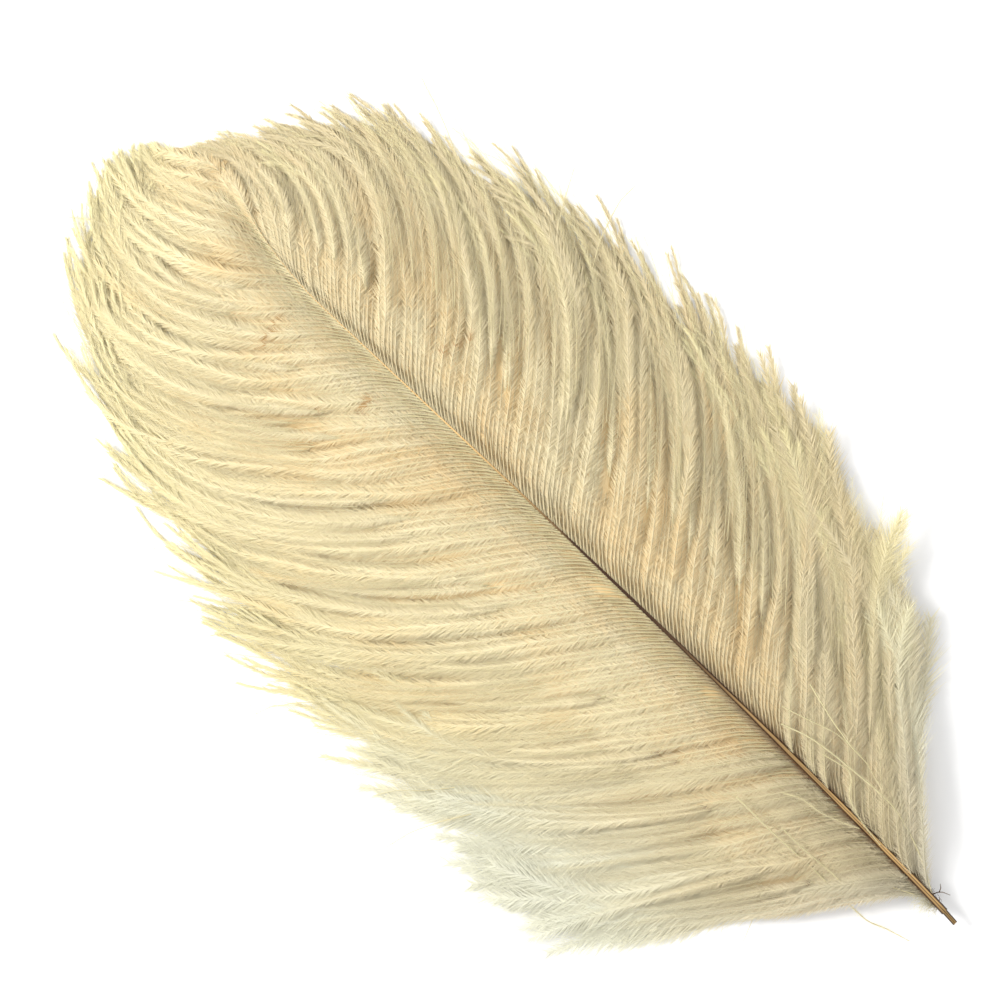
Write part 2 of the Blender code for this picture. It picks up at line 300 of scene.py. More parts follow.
STRAYS = (
    Stray(0.10, 0, ((-66, 178, 4.5), (-72, 187, 4), (-75.5, 197, 3.5), (-80.6, 204.8, 3),
                    (-86.8, 209.7, 2), (-94, 213, 0.6))),
    Stray(0.12, 1.2, ((-68, 176, 3.5), (-72.6, 182.7, 3), (-76.2, 189, 2), (-83.3, 193.4, 0.8))),
    Stray(0.08, 0.8, ((-70, 156, 3), (-78.2, 163.4, 2.4), (-84.4, 168.3, 1.8), (-91.2, 170.8, 0.6))),
    Stray(0.08, 0, ((-66, 119, 3), (-72.9, 124.9, 2.4), (-77.4, 129.5, 1.6), (-83.1, 133.1, 0.6))),
    Stray(0.09, 1.0, ((-68, 111, 3), (-75.2, 115.3, 2.4), (-82.7, 118.9, 1.6), (-90.1, 120.9, 0.6))),
    Stray(0.07, 0, ((-33, 40, 3), (-37.1, 38.2, 2.2), (-42.4, 36.1, 1.4), (-51.6, 34.4, 0.5))),
    Stray(0.06, 0, ((-35, 49, 3), (-38.1, 46.7, 2.2), (-42.1, 43.3, 1.4), (-46.9, 40.8, 0.5))),
    Stray(0.15, 0.9, ((-16.1, 65.3, 14.5), (-16.3, 50.5, 12.5), (-15.6, 36.3, 9), (-15.7, 24.4, 5.5),
                      (-15.6, 16.9, 3), (-13.7, 12.2, 1.6), (-11.8, 5, 0.5))),
    Stray(0.14, 0, ((18.2, 72, 15.5), (15.1, 60.2, 14.8), (13.9, 52.5, 14.2), (13.8, 47.3, 13.6),
                    (11.8, 39.6, 12.4))),
    Stray(0.13, 0, ((9, 73.2, 14.6), (11.3, 66.4, 14.6), (13.8, 58.9, 14.4), (14.1, 54.1, 14),
                    (14.2, 49.1, 13.6))),
    Stray(0.18, 0.6, ((5.6, 70, 13.2), (8.3, 62.7, 13.6), (9.5, 54, 13.4), (9.9, 48.3, 13),
                      (10.6, 40.9, 12), (10.6, 33.3, 10.6), (7.9, 23.4, 8.4), (4.7, 15.8, 6.4),
                      (1.0, 9.5, 4.9))),
    Stray(0.13, 0.9, ((7.5, 56.8, 13.4), (9.4, 48.8, 12.6), (7.9, 46.3, 12), (4.5, 44.1, 11.4),
                      (2.6, 39.7, 10.4), (1.6, 34.7, 9.2), (1, 29, 8))),
    Stray(0.14, 0.6, ((-2, 13, 5), (-5.5, 20, 6), (-10.3, 25.6, 7.5), (-15.1, 28.3, 7.5),
                      (-21, 32.5, 6.5), (-26.1, 35.1, 5.5))),
    Stray(0.12, 0.9, ((0.3, 36, 9), (-1.1, 38.6, 9.8), (-4, 46.4, 12), (-4.8, 53.3, 13.2),
                      (-7.1, 57.6, 14))),
    Stray(0.13, 0.8, ((-13.7, 51.2, 14), (-13.6, 43.6, 12), (-13, 35.1, 10), (-13.1, 29.6, 8.5))),
    Stray(0.09, 1.2, ((52, 232, 2.5), (56.1, 240.3, 2.2), (58.8, 247, 2), (60.2, 251.2, 1.6),
                      (61.9, 255.8, 1))),
    Stray(0.09, 1.2, ((55, 199, 3), (60.8, 203.7, 2.6), (66.2, 206.8, 2), (72.9, 210, 1))),
    Stray(0.09, 1.0, ((57, 188, 3), (63.4, 191.6, 2.6), (70.2, 193.9, 2), (75.2, 195.2, 1.5),
                      (80.4, 195.1, 1))),
    Stray(0.06, 0.8, ((-19, 280, 3), (-23.1, 286.2, 2), (-26.1, 292.3, 1.4), (-30.3, 297.4, 0.7))),
)
STRAY_THICKENING = 1.6
STRAY_TAPER = 0.35
STRAY_WOBBLE = 0.004
STRAY_SMOOTHING = 3
STRAY_TONE = 0.1
STRAY_ALONG = (0.45, 1.0)
STRAY_ROOT = 120.0
STRAY_TUBE_ROOT = 0.4
STRAY_BARBULE_PITCH = 0.35
STRAY_BARBULE_LENGTH = 1.4
STRAY_BARBULE_WIDTH = 0.08


class LockPatch(NamedTuple):
    """Loose locks over a vane. Turn and lift are a mean with its spread."""

    count: int
    strands: int
    roots: tuple
    stretch: tuple
    start: float
    turn: tuple
    lift: tuple
    barbule_pitch: float
    barbule_length: float
    barbule_width: float


LOOSE_LOCKS = LockPatch(
    count=26, strands=4, roots=(12, 240), stretch=(0.85, 1.0), start=0.3, turn=(-2, 7),
    lift=(0.8, 0.5), barbule_pitch=0.28, barbule_length=2.8, barbule_width=0.14)
DOWN_OVER_FOOT = LockPatch(
    count=26, strands=2, roots=(8, 62), stretch=(0.45, 0.85), start=0.0, turn=(-12, 10),
    lift=(0.5, 0.6), barbule_pitch=0.34, barbule_length=4.2, barbule_width=0.10)
STRAND_ROOTS = 0.5
STRAND_STRETCH = (0.88, 1.0)
STRAND_TURN = 1.2
STRAND_CURL = 3.0
STRAND_TONE = (-0.6, 0.0)
STRAND_THICKNESS = 0.75
STRAND_BURIED_STATIONS = 4
STRAND_BURIED_DEPTH = 2.0
LOOSE_CURL = (-8, 12)
LOOSE_LOWEST = 0.5

# Thin barbs whose ends stand out past the outline
WHISKERS = 150
WHISKER_LAST_ROOT = 262
WHISKER_STRETCH = (0.97, 1.06)
WHISKER_TURN = (-2, 5)
WHISKER_BOW = 1.5
WHISKER_LIFT = (-0.6, 0.8)
WHISKER_LOWEST = 0.4
WHISKER_FIRST_STATION = 14
WHISKER_RADII = (0.10, 0.03)
WHISKER_TONE = 0.2
WHISKER_LENGTH_SHOWN = 0.66
WHISKER_BARBULE_PITCH = 0.6
WHISKER_BARBULE_LENGTH = 0.6
WHISKER_BARBULE_WIDTH = 0.07


class HairPatch(NamedTuple):
    """Short hairs on a stretch of the shaft, with the ranges they are drawn from."""

    count: int
    stretch: tuple
    offset: tuple
    lift: tuple
    heading: tuple
    length: tuple
    radius: float
    tone: float


BRISTLES_AT_FOOT = HairPatch(
    count=70, stretch=(6, 24), offset=(0.5, 1.3), lift=(-0.4, 0.5), heading=(5, 80),
    length=(0.8, 2.4), radius=0.05, tone=0.15)
DOWN_AT_FOOT = HairPatch(
    count=240, stretch=(6, 17), offset=(-1.2, -0.6), lift=(-0.8, 0.0), heading=(-100, -15),
    length=(1.5, 5.5), radius=0.05, tone=-0.3)
HAIR_STATIONS = 6
HAIR_BEND = 0.5
HAIR_RISE = 0.25
HAIR_TAPER = 0.25
HAIR_ROOT = 0.05

# A dark twig-like shred at the foot, in two strands
SHRED = (
    ((1.2, 9.6, 3.6), (2.6, 9.0, 3.6), (3.6, 8.0, 3.4), (4.4, 6.0, 3.0)),
    ((3.0, 8.7, 3.5), (4.0, 9.2, 3.8), (4.7, 10.1, 4.0)),
)
SHRED_RADIUS = 0.17
SHRED_TAPER = 0.4
SHRED_TONE = 0.2
SHRED_SIDES = 5

# Frayed places on the vanes: both ends of each small zigzag
MARKS = (
    ((-8.2, 238.3), (-18.4, 235.3)),
    ((-6.5, 206.5), (-13.1, 204.8)),
    ((-18.6, 213.6), (-20.8, 212.4)),
    ((12.9, 200.9), (21.7, 197.8)),
)
MARK_SWING = 0.8
MARK_PITCH = 1.9
MARK_WIDTH = 0.42

# The plume's tint: masks as the slope and offset of a straight ramp held between 0 and 1
PATCH_SCALE = 45.0
PATCH_DETAIL = 1.0
PATCH_STRENGTH = 1.4
TONE_STRENGTH = 0.5
STEM_STRENGTH = 0.7
TIP_POWER = 2.2
FAR_ASIDE = (-40.0, -0.4)
LOW_ON_SHAFT = (-7.0, 2.1)
OUTER_HALF = (1.8, -0.5)
LOWEST_ROOTS = (-22.0, 1.7)
LOWEST_FROST = 0.7
NEXT_TO_SHAFT = (-34.0, 1.4)
LOWER_SHAFT = (-5.0, 2.1)
# Painted shade over the vanes' foot: its two masks and its strength.
FOOT_OF_VANE = (-3.2, 1.0)
INNER_HALF = (-1.3, 1.0)
FOOT_SHADE = 0.3
FRAY_STRENGTH = 0.8

PLUME_ROUGHNESS = (-0.25, 0.65)
PLUME_SPECULAR = 0.3
BARB_WARMTH = 0.0
BARB_SEE_THROUGH = 0.4
LOOSE_WARMTH = -0.4
# The hearts' warmth is painted shade inside the locks.
HEART_SHADE_WARMTH = 0.7
HEART_SEE_THROUGH = 0.25
FIBRE_STRETCH = (9.0, 600.0, 1.0)
FIBRE_DETAIL = 3.0
FIBRE_STRENGTH = 0.9
FIBRE_DEPTH = 0.6 * MM
HORN_GRAIN_SCALE = 900.0
HORN_GRAIN_DETAIL = 4.0
HORN_GRAIN_STRETCH = (1.0, 0.05, 1.0)
HORN_GRAIN_TONE = 0.7
HORN_ROUGHNESS = 0.48
HORN_SPECULAR = 0.3
HORN_BUMP_STRENGTH = 0.3
HORN_BUMP_DEPTH = 0.1 * MM

# Stage: sizes in metres, and the key light's direction right, up and above in the picture
FLOOR_HALF = 3.0
FLOOR_COLOUR = (0.92, 0.92, 0.92, 1.0)
FLOOR_ROUGHNESS = 0.9
STUDIO_COLOUR = (1.0, 1.0, 1.0, 1.0)
KEY_SIZE = 0.45
KEY_COLOUR = (1.0, 0.985, 0.96)
KEY_DISTANCE = 1.2
KEY_RIGHT = -0.72
KEY_UP = 0.12
KEY_ABOVE = 0.57
KEY_AIM_ALONG_SHAFT = 0.15
SENSOR_WIDTH = 36.0
SIGHT_LIMIT = 20.0
LIGHT_BOUNCES = 2

# The photograph's frame: its side, the foot's pixel, millimetres to a pixel, and the angle
# that the shaft makes with its upper edge
PICTURE_SIDE = 1000
PICTURE_CENTRE = np.array((500.0, 500.0))
FOOT_PIXEL = np.array((957.0, 925.0))
PICTURE_MM = 0.2613
SHAFT_ANGLE = math.radians(44.18)
SIGHT_HEIGHT = 8.0
PICTURE_RIGHT = np.array((math.sin(SHAFT_ANGLE), -math.cos(SHAFT_ANGLE), 0.0))
PICTURE_UP = np.array((math.cos(SHAFT_ANGLE), math.sin(SHAFT_ANGLE), 0.0))


def foot_of_solid():
    """Where the shaft's foot stands: the solid's lowest place along Y."""
    points = np.array([vertex.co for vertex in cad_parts[SOLID].data.vertices])
    foot = points[points[:, 1] < points[:, 1].min() + FOOT_SLICE * MM]
    return np.array((foot[:, 0].mean(), points[:, 1].min(), 0.0))


FOOT = foot_of_solid()


class FeatherSizes(PropertyGroup):
    barb_pitch: FloatProperty(
        name="Barb pitch", description="Distance between barbs along the shaft", default=1.42 * MM,
        min=0.5 * MM, unit="LENGTH")
    barb_radius: FloatProperty(
        name="Barb radius", description="Radius of a barb where it leaves the shaft",
        default=0.22 * MM, min=0.02 * MM, unit="LENGTH")
    barbule_pitch: FloatProperty(
        name="Barbule pitch", description="Distance between barbules on one side of a barb",
        default=0.20 * MM, min=0.05 * MM, unit="LENGTH")
    barbule_length: FloatProperty(
        name="Barbule length", description="Length of the longest barbules", default=3.4 * MM,
        min=0.5 * MM, unit="LENGTH")
    barbule_width: FloatProperty(
        name="Barbule width", description="Width of a barbule at its base", default=0.152 * MM,
        min=0.01 * MM, unit="LENGTH")
    lock_pitch: FloatProperty(
        name="Lock pitch", description="Mean distance between locks along the shaft",
        default=8.6 * MM, min=1.5 * MM, unit="LENGTH")
    foot_radius: FloatProperty(
        name="Foot radius", description="Radius of the shaft at its foot", default=1.05 * MM,
        min=0.2 * MM, unit="LENGTH")
    seed: IntProperty(name="Seed", description="Picks another tousle of the locks", default=5)


class FeatherColours(PropertyGroup):
    pale: FloatVectorProperty(
        name="Pale", description="Barbs in the light", subtype="COLOR", size=3,
        min=0.0, max=1.0, default=(0.97, 0.87, 0.60))
    # Warm is also the colour that painted shade takes in the deep gaps between locks.
    warm: FloatVectorProperty(
        name="Warm", description="Deep gaps and warmer barbs", subtype="COLOR", size=3,
        min=0.0, max=1.0, default=(0.95, 0.71, 0.37))
    tip: FloatVectorProperty(
        name="Tip", description="Barb tips", subtype="COLOR", size=3,
        min=0.0, max=1.0, default=(0.98, 0.90, 0.57))
    # Painted shade: the narrow vane, on the side away from the light, gets darker tips.
    shaded_tip: FloatVectorProperty(
        name="Shaded tip", description="Darker barb tips of the narrow vane", subtype="COLOR", size=3,
        min=0.0, max=1.0, default=(0.84, 0.74, 0.49))
    frost: FloatVectorProperty(
        name="Frost", description="Whitish ends of the lowest barbs", subtype="COLOR", size=3,
        min=0.0, max=1.0, default=(0.95, 0.94, 0.78))
    # This colour is the real brown of the lower barbs' bases, and also painted shade over the vanes' foot.
    stain: FloatVectorProperty(
        name="Stain", description="Brown bases of the lower barbs", subtype="COLOR", size=3,
        min=0.0, max=1.0, default=(0.30, 0.16, 0.08))
    fray: FloatVectorProperty(
        name="Fray", description="Golden brown of the frayed places", subtype="COLOR", size=3,
        min=0.0, max=1.0, default=(0.62, 0.34, 0.10))
    # The horn colour is partly the shaft's own dark colour, partly painted shade along its sides.
    horn: FloatVectorProperty(
        name="Horn", description="Dark sides of the shaft", subtype="COLOR", size=3,
        min=0.0, max=1.0, default=(0.045, 0.018, 0.006))
    groove: FloatVectorProperty(
        name="Groove", description="Lighter stripe along the shaft", subtype="COLOR", size=3,
        min=0.0, max=1.0, default=(0.70, 0.45, 0.18))


class FeatherStage(PropertyGroup):
    key_power: FloatProperty(
        name="Key light", description="Power of the soft light from the left", default=15.0,
        min=0.0, unit="POWER")
    ambient: FloatProperty(
        name="Ambient", description="Brightness of the white surroundings", default=0.96, min=0.0)
    camera_distance: FloatProperty(
        name="Camera distance", description="Height of the camera above the feather", default=1.1,
        min=0.3, unit="LENGTH")


def unit(vectors):
    return vectors / np.maximum(np.linalg.norm(vectors, axis=-1, keepdims=True), LEAST_LENGTH)


def shaft_plan(y):
    """Sideways place of the shaft's middle line, in millimetres."""
    bowed = BOW * np.sin(np.pi * (np.clip(y, 0, BOW_SPAN) / BOW_SPAN) ** BOW_SKEW)
    leant = LEAN * (np.clip(y - LEAN_START, 0, None) / (SHAFT_LENGTH - LEAN_START)) ** 2
    return bowed + leant


def shaft_height(y):
    """Height of the shaft's middle line over the table, in millimetres."""
    return FOOT_HEIGHT + ARCH_HEIGHT * np.sin(np.pi * (np.clip(y, 0, None) / ARCH_SPAN) ** ARCH_SKEW)


def barb_lengths(table, roots):
    return np.interp(roots, table[:, 0], table[:, 1])


def barb_plans(side, table, roots, stretch=1.0, turn=0.0, curl=0.0):
    """Plan points of barbs, one row of stations for each root."""
    columns = range(1, table.shape[1])
    length, leave, end, late = (np.interp(roots, table[:, 0], table[:, k])[:, None] for k in columns)
    length = length * np.broadcast_to(stretch, roots.shape)[:, None]
    end = end + np.broadcast_to(turn, roots.shape)[:, None]
    middles = (SHARES[1:] + SHARES[:-1]) / 2
    heading = mix(leave, end, middles ** late) - ROOT_HUG * np.exp(-middles * length / ROOT_RELAX)
    curl = np.broadcast_to(curl, roots.shape)[:, None]
    heading = np.radians(heading + curl * CURL_SHARE.at(middles))
    step = length / (STATIONS - 1)
    start = np.zeros((len(roots), 1))
    across = np.hstack((start, np.cumsum(side * np.sin(heading) * step, axis=1)))
    along = np.hstack((start, np.cumsum(np.cos(heading) * step, axis=1)))
    return np.stack((shaft_plan(roots)[:, None] + across, roots[:, None] + along), axis=-1)


def vane_top(side, roots, lengths, shares):
    """Height of the vanes' top at places along barbs."""
    start = shaft_height(roots)[:, None]
    lengths = lengths[:, None]
    rise = CREST_RISE * CREST_REACH.at(shares * lengths) * CREST_LENGTH.at(lengths)
    stand = EDGE_STAND.at(roots)[:, None] * (side > 0)
    return mix(start + rise, TIP_TOP + stand, DROOP.at(shares))


def plan_normals(plans):
    """Sideways directions of plan curves, to their left."""
    ahead = unit(np.gradient(plans, axis=1))
    return np.stack((-ahead[..., 1], ahead[..., 0]), axis=-1)


def draw_swells(chance, along, across, count=SWELLS):
    """Random slow waves over a vane, their lengths given in millimetres."""
    return {
        "along": 1 / chance.uniform(*along, count),
        "across": 1 / chance.uniform(*across, count) * chance.choice((-1, 1), count),
        "phase": chance.uniform(0, 1, count),
    }


def swell(swells, roots, distance):
    """The waves' sum, mostly between -1 and 1, at places along barbs."""
    waves = (distance[..., None] * swells["along"] + roots[:, None, None] * swells["across"]
             + swells["phase"])
    return np.sin(2 * np.pi * waves).sum(axis=-1) / math.sqrt(len(swells["phase"]))


def lock_edges(sizes, chance):
    """Places along the shaft where one lock ends and the next begins."""
    edges = [FIRST_ROOT]
    while edges[-1] < LAST_ROOT:
        edges.append(edges[-1] + sizes.lock_pitch / MM * chance.uniform(*LOCK_SPACING))
    return np.array(edges)


def make_locks(side, table, sizes, chance):
    """Draws each lock's own place, length, turn, wave and height along one vane."""
    edges = lock_edges(sizes, chance)
    roots = np.clip((edges[1:] + edges[:-1]) / 2, FIRST_ROOT, LAST_ROOT)
    count = len(roots)
    locks = {
        "edges": edges,
        "roots": roots,
        "stretch": chance.uniform(*LOCK_STRETCH, count),
        "turn": chance.normal(0.0, LOCK_TURN, count) * TURN_CALM.at(roots),
        "curl": np.minimum(chance.normal(*LOCK_CURL, count), LOCK_CURL_LIMIT),
        "ridge": chance.uniform(*LOCK_RIDGE, count),
        "tilt": chance.normal(*LOCK_TILT, count),
        "sway": draw_swells(chance, *SWAY_LENGTHS),
        "puffs": draw_swells(chance, *PUFF_LENGTHS),
        "wave": chance.uniform(*LOCK_WAVE, count),
        "cycles": chance.uniform(*LOCK_WAVE_COUNT, count),
        "phase": chance.uniform(0.0, 2 * np.pi, count),
        "lift": chance.uniform(-1.0, 1.0, count),
        "gather": chance.uniform(*LOCK_GATHER, count),
        "gather_start": chance.uniform(*LOCK_GATHER_START, count),
        "tone": chance.uniform(0.0, 1.0, count),
    }
    plans = barb_plans(side, table, roots, locks["stretch"], locks["turn"], locks["curl"])
    swing = np.sin(2 * np.pi * SHARES * locks["cycles"][:, None] + locks["phase"][:, None])
    swing = swing * locks["wave"][:, None] * LOCK_WAVE_SHARE.at(SHARES)
    locks["plans"] = plans + plan_normals(plans) * swing[..., None]
    return locks


def gather_in_locks(own, locks, lock, roots, layer):
    """Draws the outer parts of barbs towards the middle line of their lock."""
    pull = locks["gather"][lock][:, None] * smooth(
        (SHARES - locks["gather_start"][lock][:, None]) / GATHER_SPAN)
    pull = pull * GATHER_SHARE.at(roots)[:, None]
    return mix(own, locks["plans"][lock], layer.pull * pull[..., None])


def ripples(layer, count, chance):
    """Each barb's own sideways waves."""
    waves = SHARES * chance.uniform(*RIPPLE_COUNT, (count, 1)) + chance.uniform(0, 1, (count, 1))
    size = chance.uniform(RIPPLE_LEAST, layer.ripple, (count, 1))
    return np.sin(2 * np.pi * waves) * size * RIPPLE_SHARE.at(SHARES)


def make_barbs(side, table, locks, layer, sizes, chance):
    """Lays the barbs of one vane: they start evenly along the shaft and gather in their locks."""
    pitch = sizes.barb_pitch / MM
    roots = np.arange(FIRST_ROOT + layer.shift * pitch, LAST_ROOT, pitch)
    count = len(roots)
    roots = roots + chance.uniform(-ROOT_JITTER, ROOT_JITTER, count)
    lock = np.clip(np.searchsorted(locks["edges"], roots) - 1, 0, len(locks["roots"]) - 1)
    place = (roots - locks["roots"][lock]) / (locks["edges"][lock + 1] - locks["edges"][lock])
    stretch = locks["stretch"][lock] * chance.uniform(*BARB_STRETCH, count)
    turn = locks["turn"][lock] * layer.pull + chance.normal(0.0, layer.turn, count)
    curl = locks["curl"][lock] * layer.pull + chance.normal(0.0, BARB_CURL, count)
    lengths = barb_lengths(table, roots) * stretch
    distance = SHARES * lengths[:, None]
    plans = gather_in_locks(barb_plans(side, table, roots, stretch, turn, curl), locks, lock, roots, layer)
    sway = SWAY * swell(locks["sway"], roots, distance) * SWAY_REACH.at(distance)
    sideways = ripples(layer, count, chance) + sway
    plans = plans + plan_normals(plans) * sideways[..., None]
    ridge = locks["ridge"][lock] * (1.0 - RIDGE_FALL * place ** 2) + locks["tilt"][lock] * place * 2
    puff = PUFF * swell(locks["puffs"], roots, distance) + chance.uniform(-PUFF_OWN, PUFF_OWN, (count, 1))
    sink = chance.uniform(*layer.sink, count)[:, None]
    relief = (locks["lift"][lock][:, None] * LOCK_LIFT + ridge[:, None] + puff) * LOFT.at(SHARES)
    height = vane_top(side, roots, lengths, SHARES[None, :]) * (1 - sink * SINK_SHARE.at(SHARES))
    height = np.maximum(height - UNDER_TOP + relief, BARB_GAP)
    height[:, 0] = shaft_height(roots)
    height[:, 1] = np.maximum(height[:, 1], shaft_height(roots) - layer.drop)
    # Painted shade: the layer's warmth and the relief term make barbs that lie deeper warmer and those
    # higher paler.
    tone = LOCK_TONE * locks["tone"][lock] + BARB_TONE * chance.uniform(0, 1, count) + layer.warmth
    tone = tone[:, None] + HOLLOW_SHADE_TONE * (RELIEF_MIDDLE - relief)
    tone = tone + PUFF_TONE * swell(locks["puffs"], roots * PUFF_TONE_CROWDING, distance)
    return {"roots": roots, "lengths": lengths, "points": np.dstack((plans, height)), "tone": tone}


def marked(points):
    """1 on the small brown zigzags where barbs are frayed, 0 elsewhere."""
    marks = np.zeros(len(points), np.float32)
    for start, end in MARKS:
        start, end = np.array(start), np.array(end)
        length = np.linalg.norm(end - start)
        ahead = (end - start) / length
        offset = points[:, :2] - start
        along = offset @ ahead
        across = offset @ np.array((-ahead[1], ahead[0]))
        zigzag = MARK_SWING * (2 * np.abs(2 * ((along / MARK_PITCH) % 1.0) - 1) - 1)
        marks[(np.abs(across - zigzag) < MARK_WIDTH) & (along > 0) & (along < length)] = 1.0
    return marks


class Pile:
    """Collects points, triangles, and each point's values until they become one mesh."""

    LABELS = ("along", "tone", "root", "stem")

    def __init__(self):
        self.points, self.faces, self.values, self.places = [], [], [], []
        self.count = 0

    def add(self, points, faces, along, tone, root, place, stem=0.0):
        """points (n, 3) in millimetres from the foot, faces (m, 3), place (n, 2) in the bake map."""
        self.points.append(points)
        self.faces.append(faces + self.count)
        self.values.append(np.column_stack((along, tone, root, np.full(len(points), stem))))
        self.places.append(place)
        self.count += len(points)

    def mesh(self, name):
        """The collected triangles with their values and bake map."""
        plain = np.concatenate(self.points)
        points = plain * MM + FOOT
        points[:, 2] = np.maximum(points[:, 2], TABLE_GAP * MM)
        faces = np.concatenate(self.faces).astype(np.int32)
        mesh = bpy.data.meshes.new(name)
        mesh.vertices.add(len(points))
        mesh.vertices.foreach_set("co", points.astype(np.float32).ravel())
        mesh.loops.add(faces.size)
        mesh.loops.foreach_set("vertex_index", faces.ravel())
        mesh.polygons.add(len(faces))
        mesh.polygons.foreach_set("loop_start", np.arange(0, faces.size, 3, dtype=np.int32))
        mesh.update(calc_edges=True)
        mesh.shade_smooth()
        values = np.concatenate(self.values).astype(np.float32)
        for column, label in enumerate(self.LABELS):
            layer = mesh.attributes.new(label, "FLOAT", "POINT")
            layer.data.foreach_set("value", np.ascontiguousarray(values[:, column]))
        mesh.attributes.new("mark", "FLOAT", "POINT").data.foreach_set("value", marked(plain))
        places = np.concatenate(self.places)[faces.ravel()].astype(np.float32)
        mesh.uv_layers.new(name=BAKE_MAP, do_init=False).data.foreach_set("uv", places.ravel())
        return mesh

    def piece(self, name, material):
        """Makes the mesh an object that rides with the feather's body and takes its solid's place."""
        mesh = self.mesh(name)
        mesh.materials.append(material)
        made = bpy.data.objects.new(name, mesh)
        bpy.context.scene.collection.objects.link(made)
        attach(made, BODY)
        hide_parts(SOLID)


def directions_along(points):
    """Left and up directions at every station of the curves."""
    ahead = unit(np.gradient(points, axis=1))
    left = unit(np.cross((0.0, 0.0, 1.0), ahead))
    return left, np.cross(ahead, left)


def ring_faces(index):
    """Triangles between neighbouring rings. The last two axes of index are ring and corner."""
    near, far = index[..., :-1, :], index[..., 1:, :]
    next_near, next_far = np.roll(near, -1, axis=-1), np.roll(far, -1, axis=-1)
    first = np.stack((near, next_near, far), -1)
    second = np.stack((next_near, next_far, far), -1)
    return np.stack((first, second), -2).reshape(-1, 3)


def add_tubes(pile, points, radius, along, tone, root, sides=3):
    """Thin tubes round curves. points is (curves, stations, 3), radius (curves, stations)."""
    curves, stations = points.shape[:2]
    left, up = directions_along(points)
    turns = 2 * np.pi * np.arange(sides) / sides + np.pi / 2
    ring = np.cos(turns)[:, None, None, None] * left + np.sin(turns)[:, None, None, None] * up
    skin = np.moveaxis(points + ring * radius[..., None], 0, 2)
    index = np.arange(curves * stations * sides).reshape(curves, stations, sides)
    around = TUBE_ROW + TUBE_ROW_WIDTH * np.arange(sides) / sides
    rows = (np.arange(curves)[:, None, None] + around) / curves
    place = np.stack((np.broadcast_to(along[..., None], index.shape),
                      np.broadcast_to(rows, index.shape)), -1)
    spread = [np.broadcast_to(value[..., None], index.shape).ravel() for value in (along, tone, root)]
    pile.add(skin.reshape(-1, 3), ring_faces(index), *spread, place.reshape(-1, 2), stem=1.0)


def add_barbules(pile, barbs, pitch, reach, width, chance):
    """Thin tapering barbules on both sides of barbs, one triangle each."""
    points, lengths = barbs["points"], barbs["lengths"]
    count = len(lengths)
    each = 2 * np.maximum((lengths / pitch).astype(int), FEWEST_BARBULES)
    barb = np.repeat(np.arange(count), each)
    order = np.arange(len(barb)) - np.repeat(np.cumsum(each) - each, each)
    hand = np.where(order % 2, 1.0, -1.0)
    share = BARBULES_START + BARBULES_SPAN * (order + chance.uniform(0, 1, len(barb))) / each[barb]
    at = share * (points.shape[1] - 1)
    low = np.minimum(at.astype(int), points.shape[1] - 2)
    base = mix(points[barb, low], points[barb, low + 1], (at - low)[:, None])
    ahead = unit(points[barb, low + 1] - points[barb, low])
    left = unit(np.cross((0.0, 0.0, 1.0), ahead))
    up = np.cross(ahead, left)
    tufts = chance.normal(0.0, 1.0, (count, TUFTS))
    tuft = tufts[barb, (share * lengths[barb] / TUFT_PITCH).astype(int) % TUFTS]
    fluff = FLUFF_ROOTS.at(barbs["roots"][barb]) * FLUFF_SHARE.at(share)
    open_angle = OPEN_ANGLE.at(share) - TIP_CLOSING.at(share) + FLUFF_ANGLE * fluff + TUFT_ANGLE * tuft
    open_angle = np.radians(open_angle + chance.normal(0.0, OPEN_SPREAD, len(barb)))
    hang = np.radians(HANG.at(share) + chance.normal(0.0, HANG_SPREAD, len(barb)))
    outward = left * (hand * np.cos(hang))[:, None] + up * np.sin(hang)[:, None]
    start = ahead * np.cos(open_angle)[:, None] + outward * np.sin(open_angle)[:, None]
    size = reach * ROOT_SIZE.at(share) * MIDDLE_SIZE.at(share) * TIP_SIZE.at(share)
    size = size * (1 + FLUFF_SIZE * fluff) * chance.uniform(*SIZE_SPREAD, len(barb))
    twist = chance.normal(0.0, TWIST_SPREAD, len(barb))
    half = unit(np.cross(start, up + left * twist[:, None])) * width / 2
    corners = np.stack((base - half, base + half, base + start * size[:, None]), axis=1)
    faces = np.arange(3 * len(barb)).reshape(-1, 3)
    tone = barbs["tone"][barb, low] + TUFT_TONE * tuft + chance.normal(0, BARBULE_TONE, len(barb))
    tone = np.clip(tone, *TONE_LIMITS)
    along = np.clip(share[:, None] + BARBULE_SHARES, 0, 1)
    row = (barb[:, None] + 0.5 + hand[:, None] * BARBULE_ROWS) / count
    root = barbs["roots"][barb] / SHAFT_LENGTH
    pile.add(corners.reshape(-1, 3), faces, along.ravel(), np.repeat(tone, 3), np.repeat(root, 3),
             np.stack((along, row), -1).reshape(-1, 2))


def barb_radius(sizes, shares):
    return sizes.barb_radius / MM * mix(1.0, TUBE_TAPER, shares ** TUBE_TAPER_POWER)


def link(tree, source, target):
    tree.links.new(source, target)


def attribute(tree, name):
    node = tree.nodes.new("ShaderNodeAttribute")
    node.attribute_name = name
    return node.outputs["Fac"]


def plain_colour(tree, colour):
    node = tree.nodes.new("ShaderNodeRGB")
    node.outputs[0].default_value = (*colour, 1.0)
    return node.outputs[0]


def noise(tree, vector, scale, detail):
    node = tree.nodes.new("ShaderNodeTexNoise")
    node.inputs["Scale"].default_value = scale
    node.inputs["Detail"].default_value = detail
    link(tree, vector, node.inputs["Vector"])
    return node.outputs["Fac"]


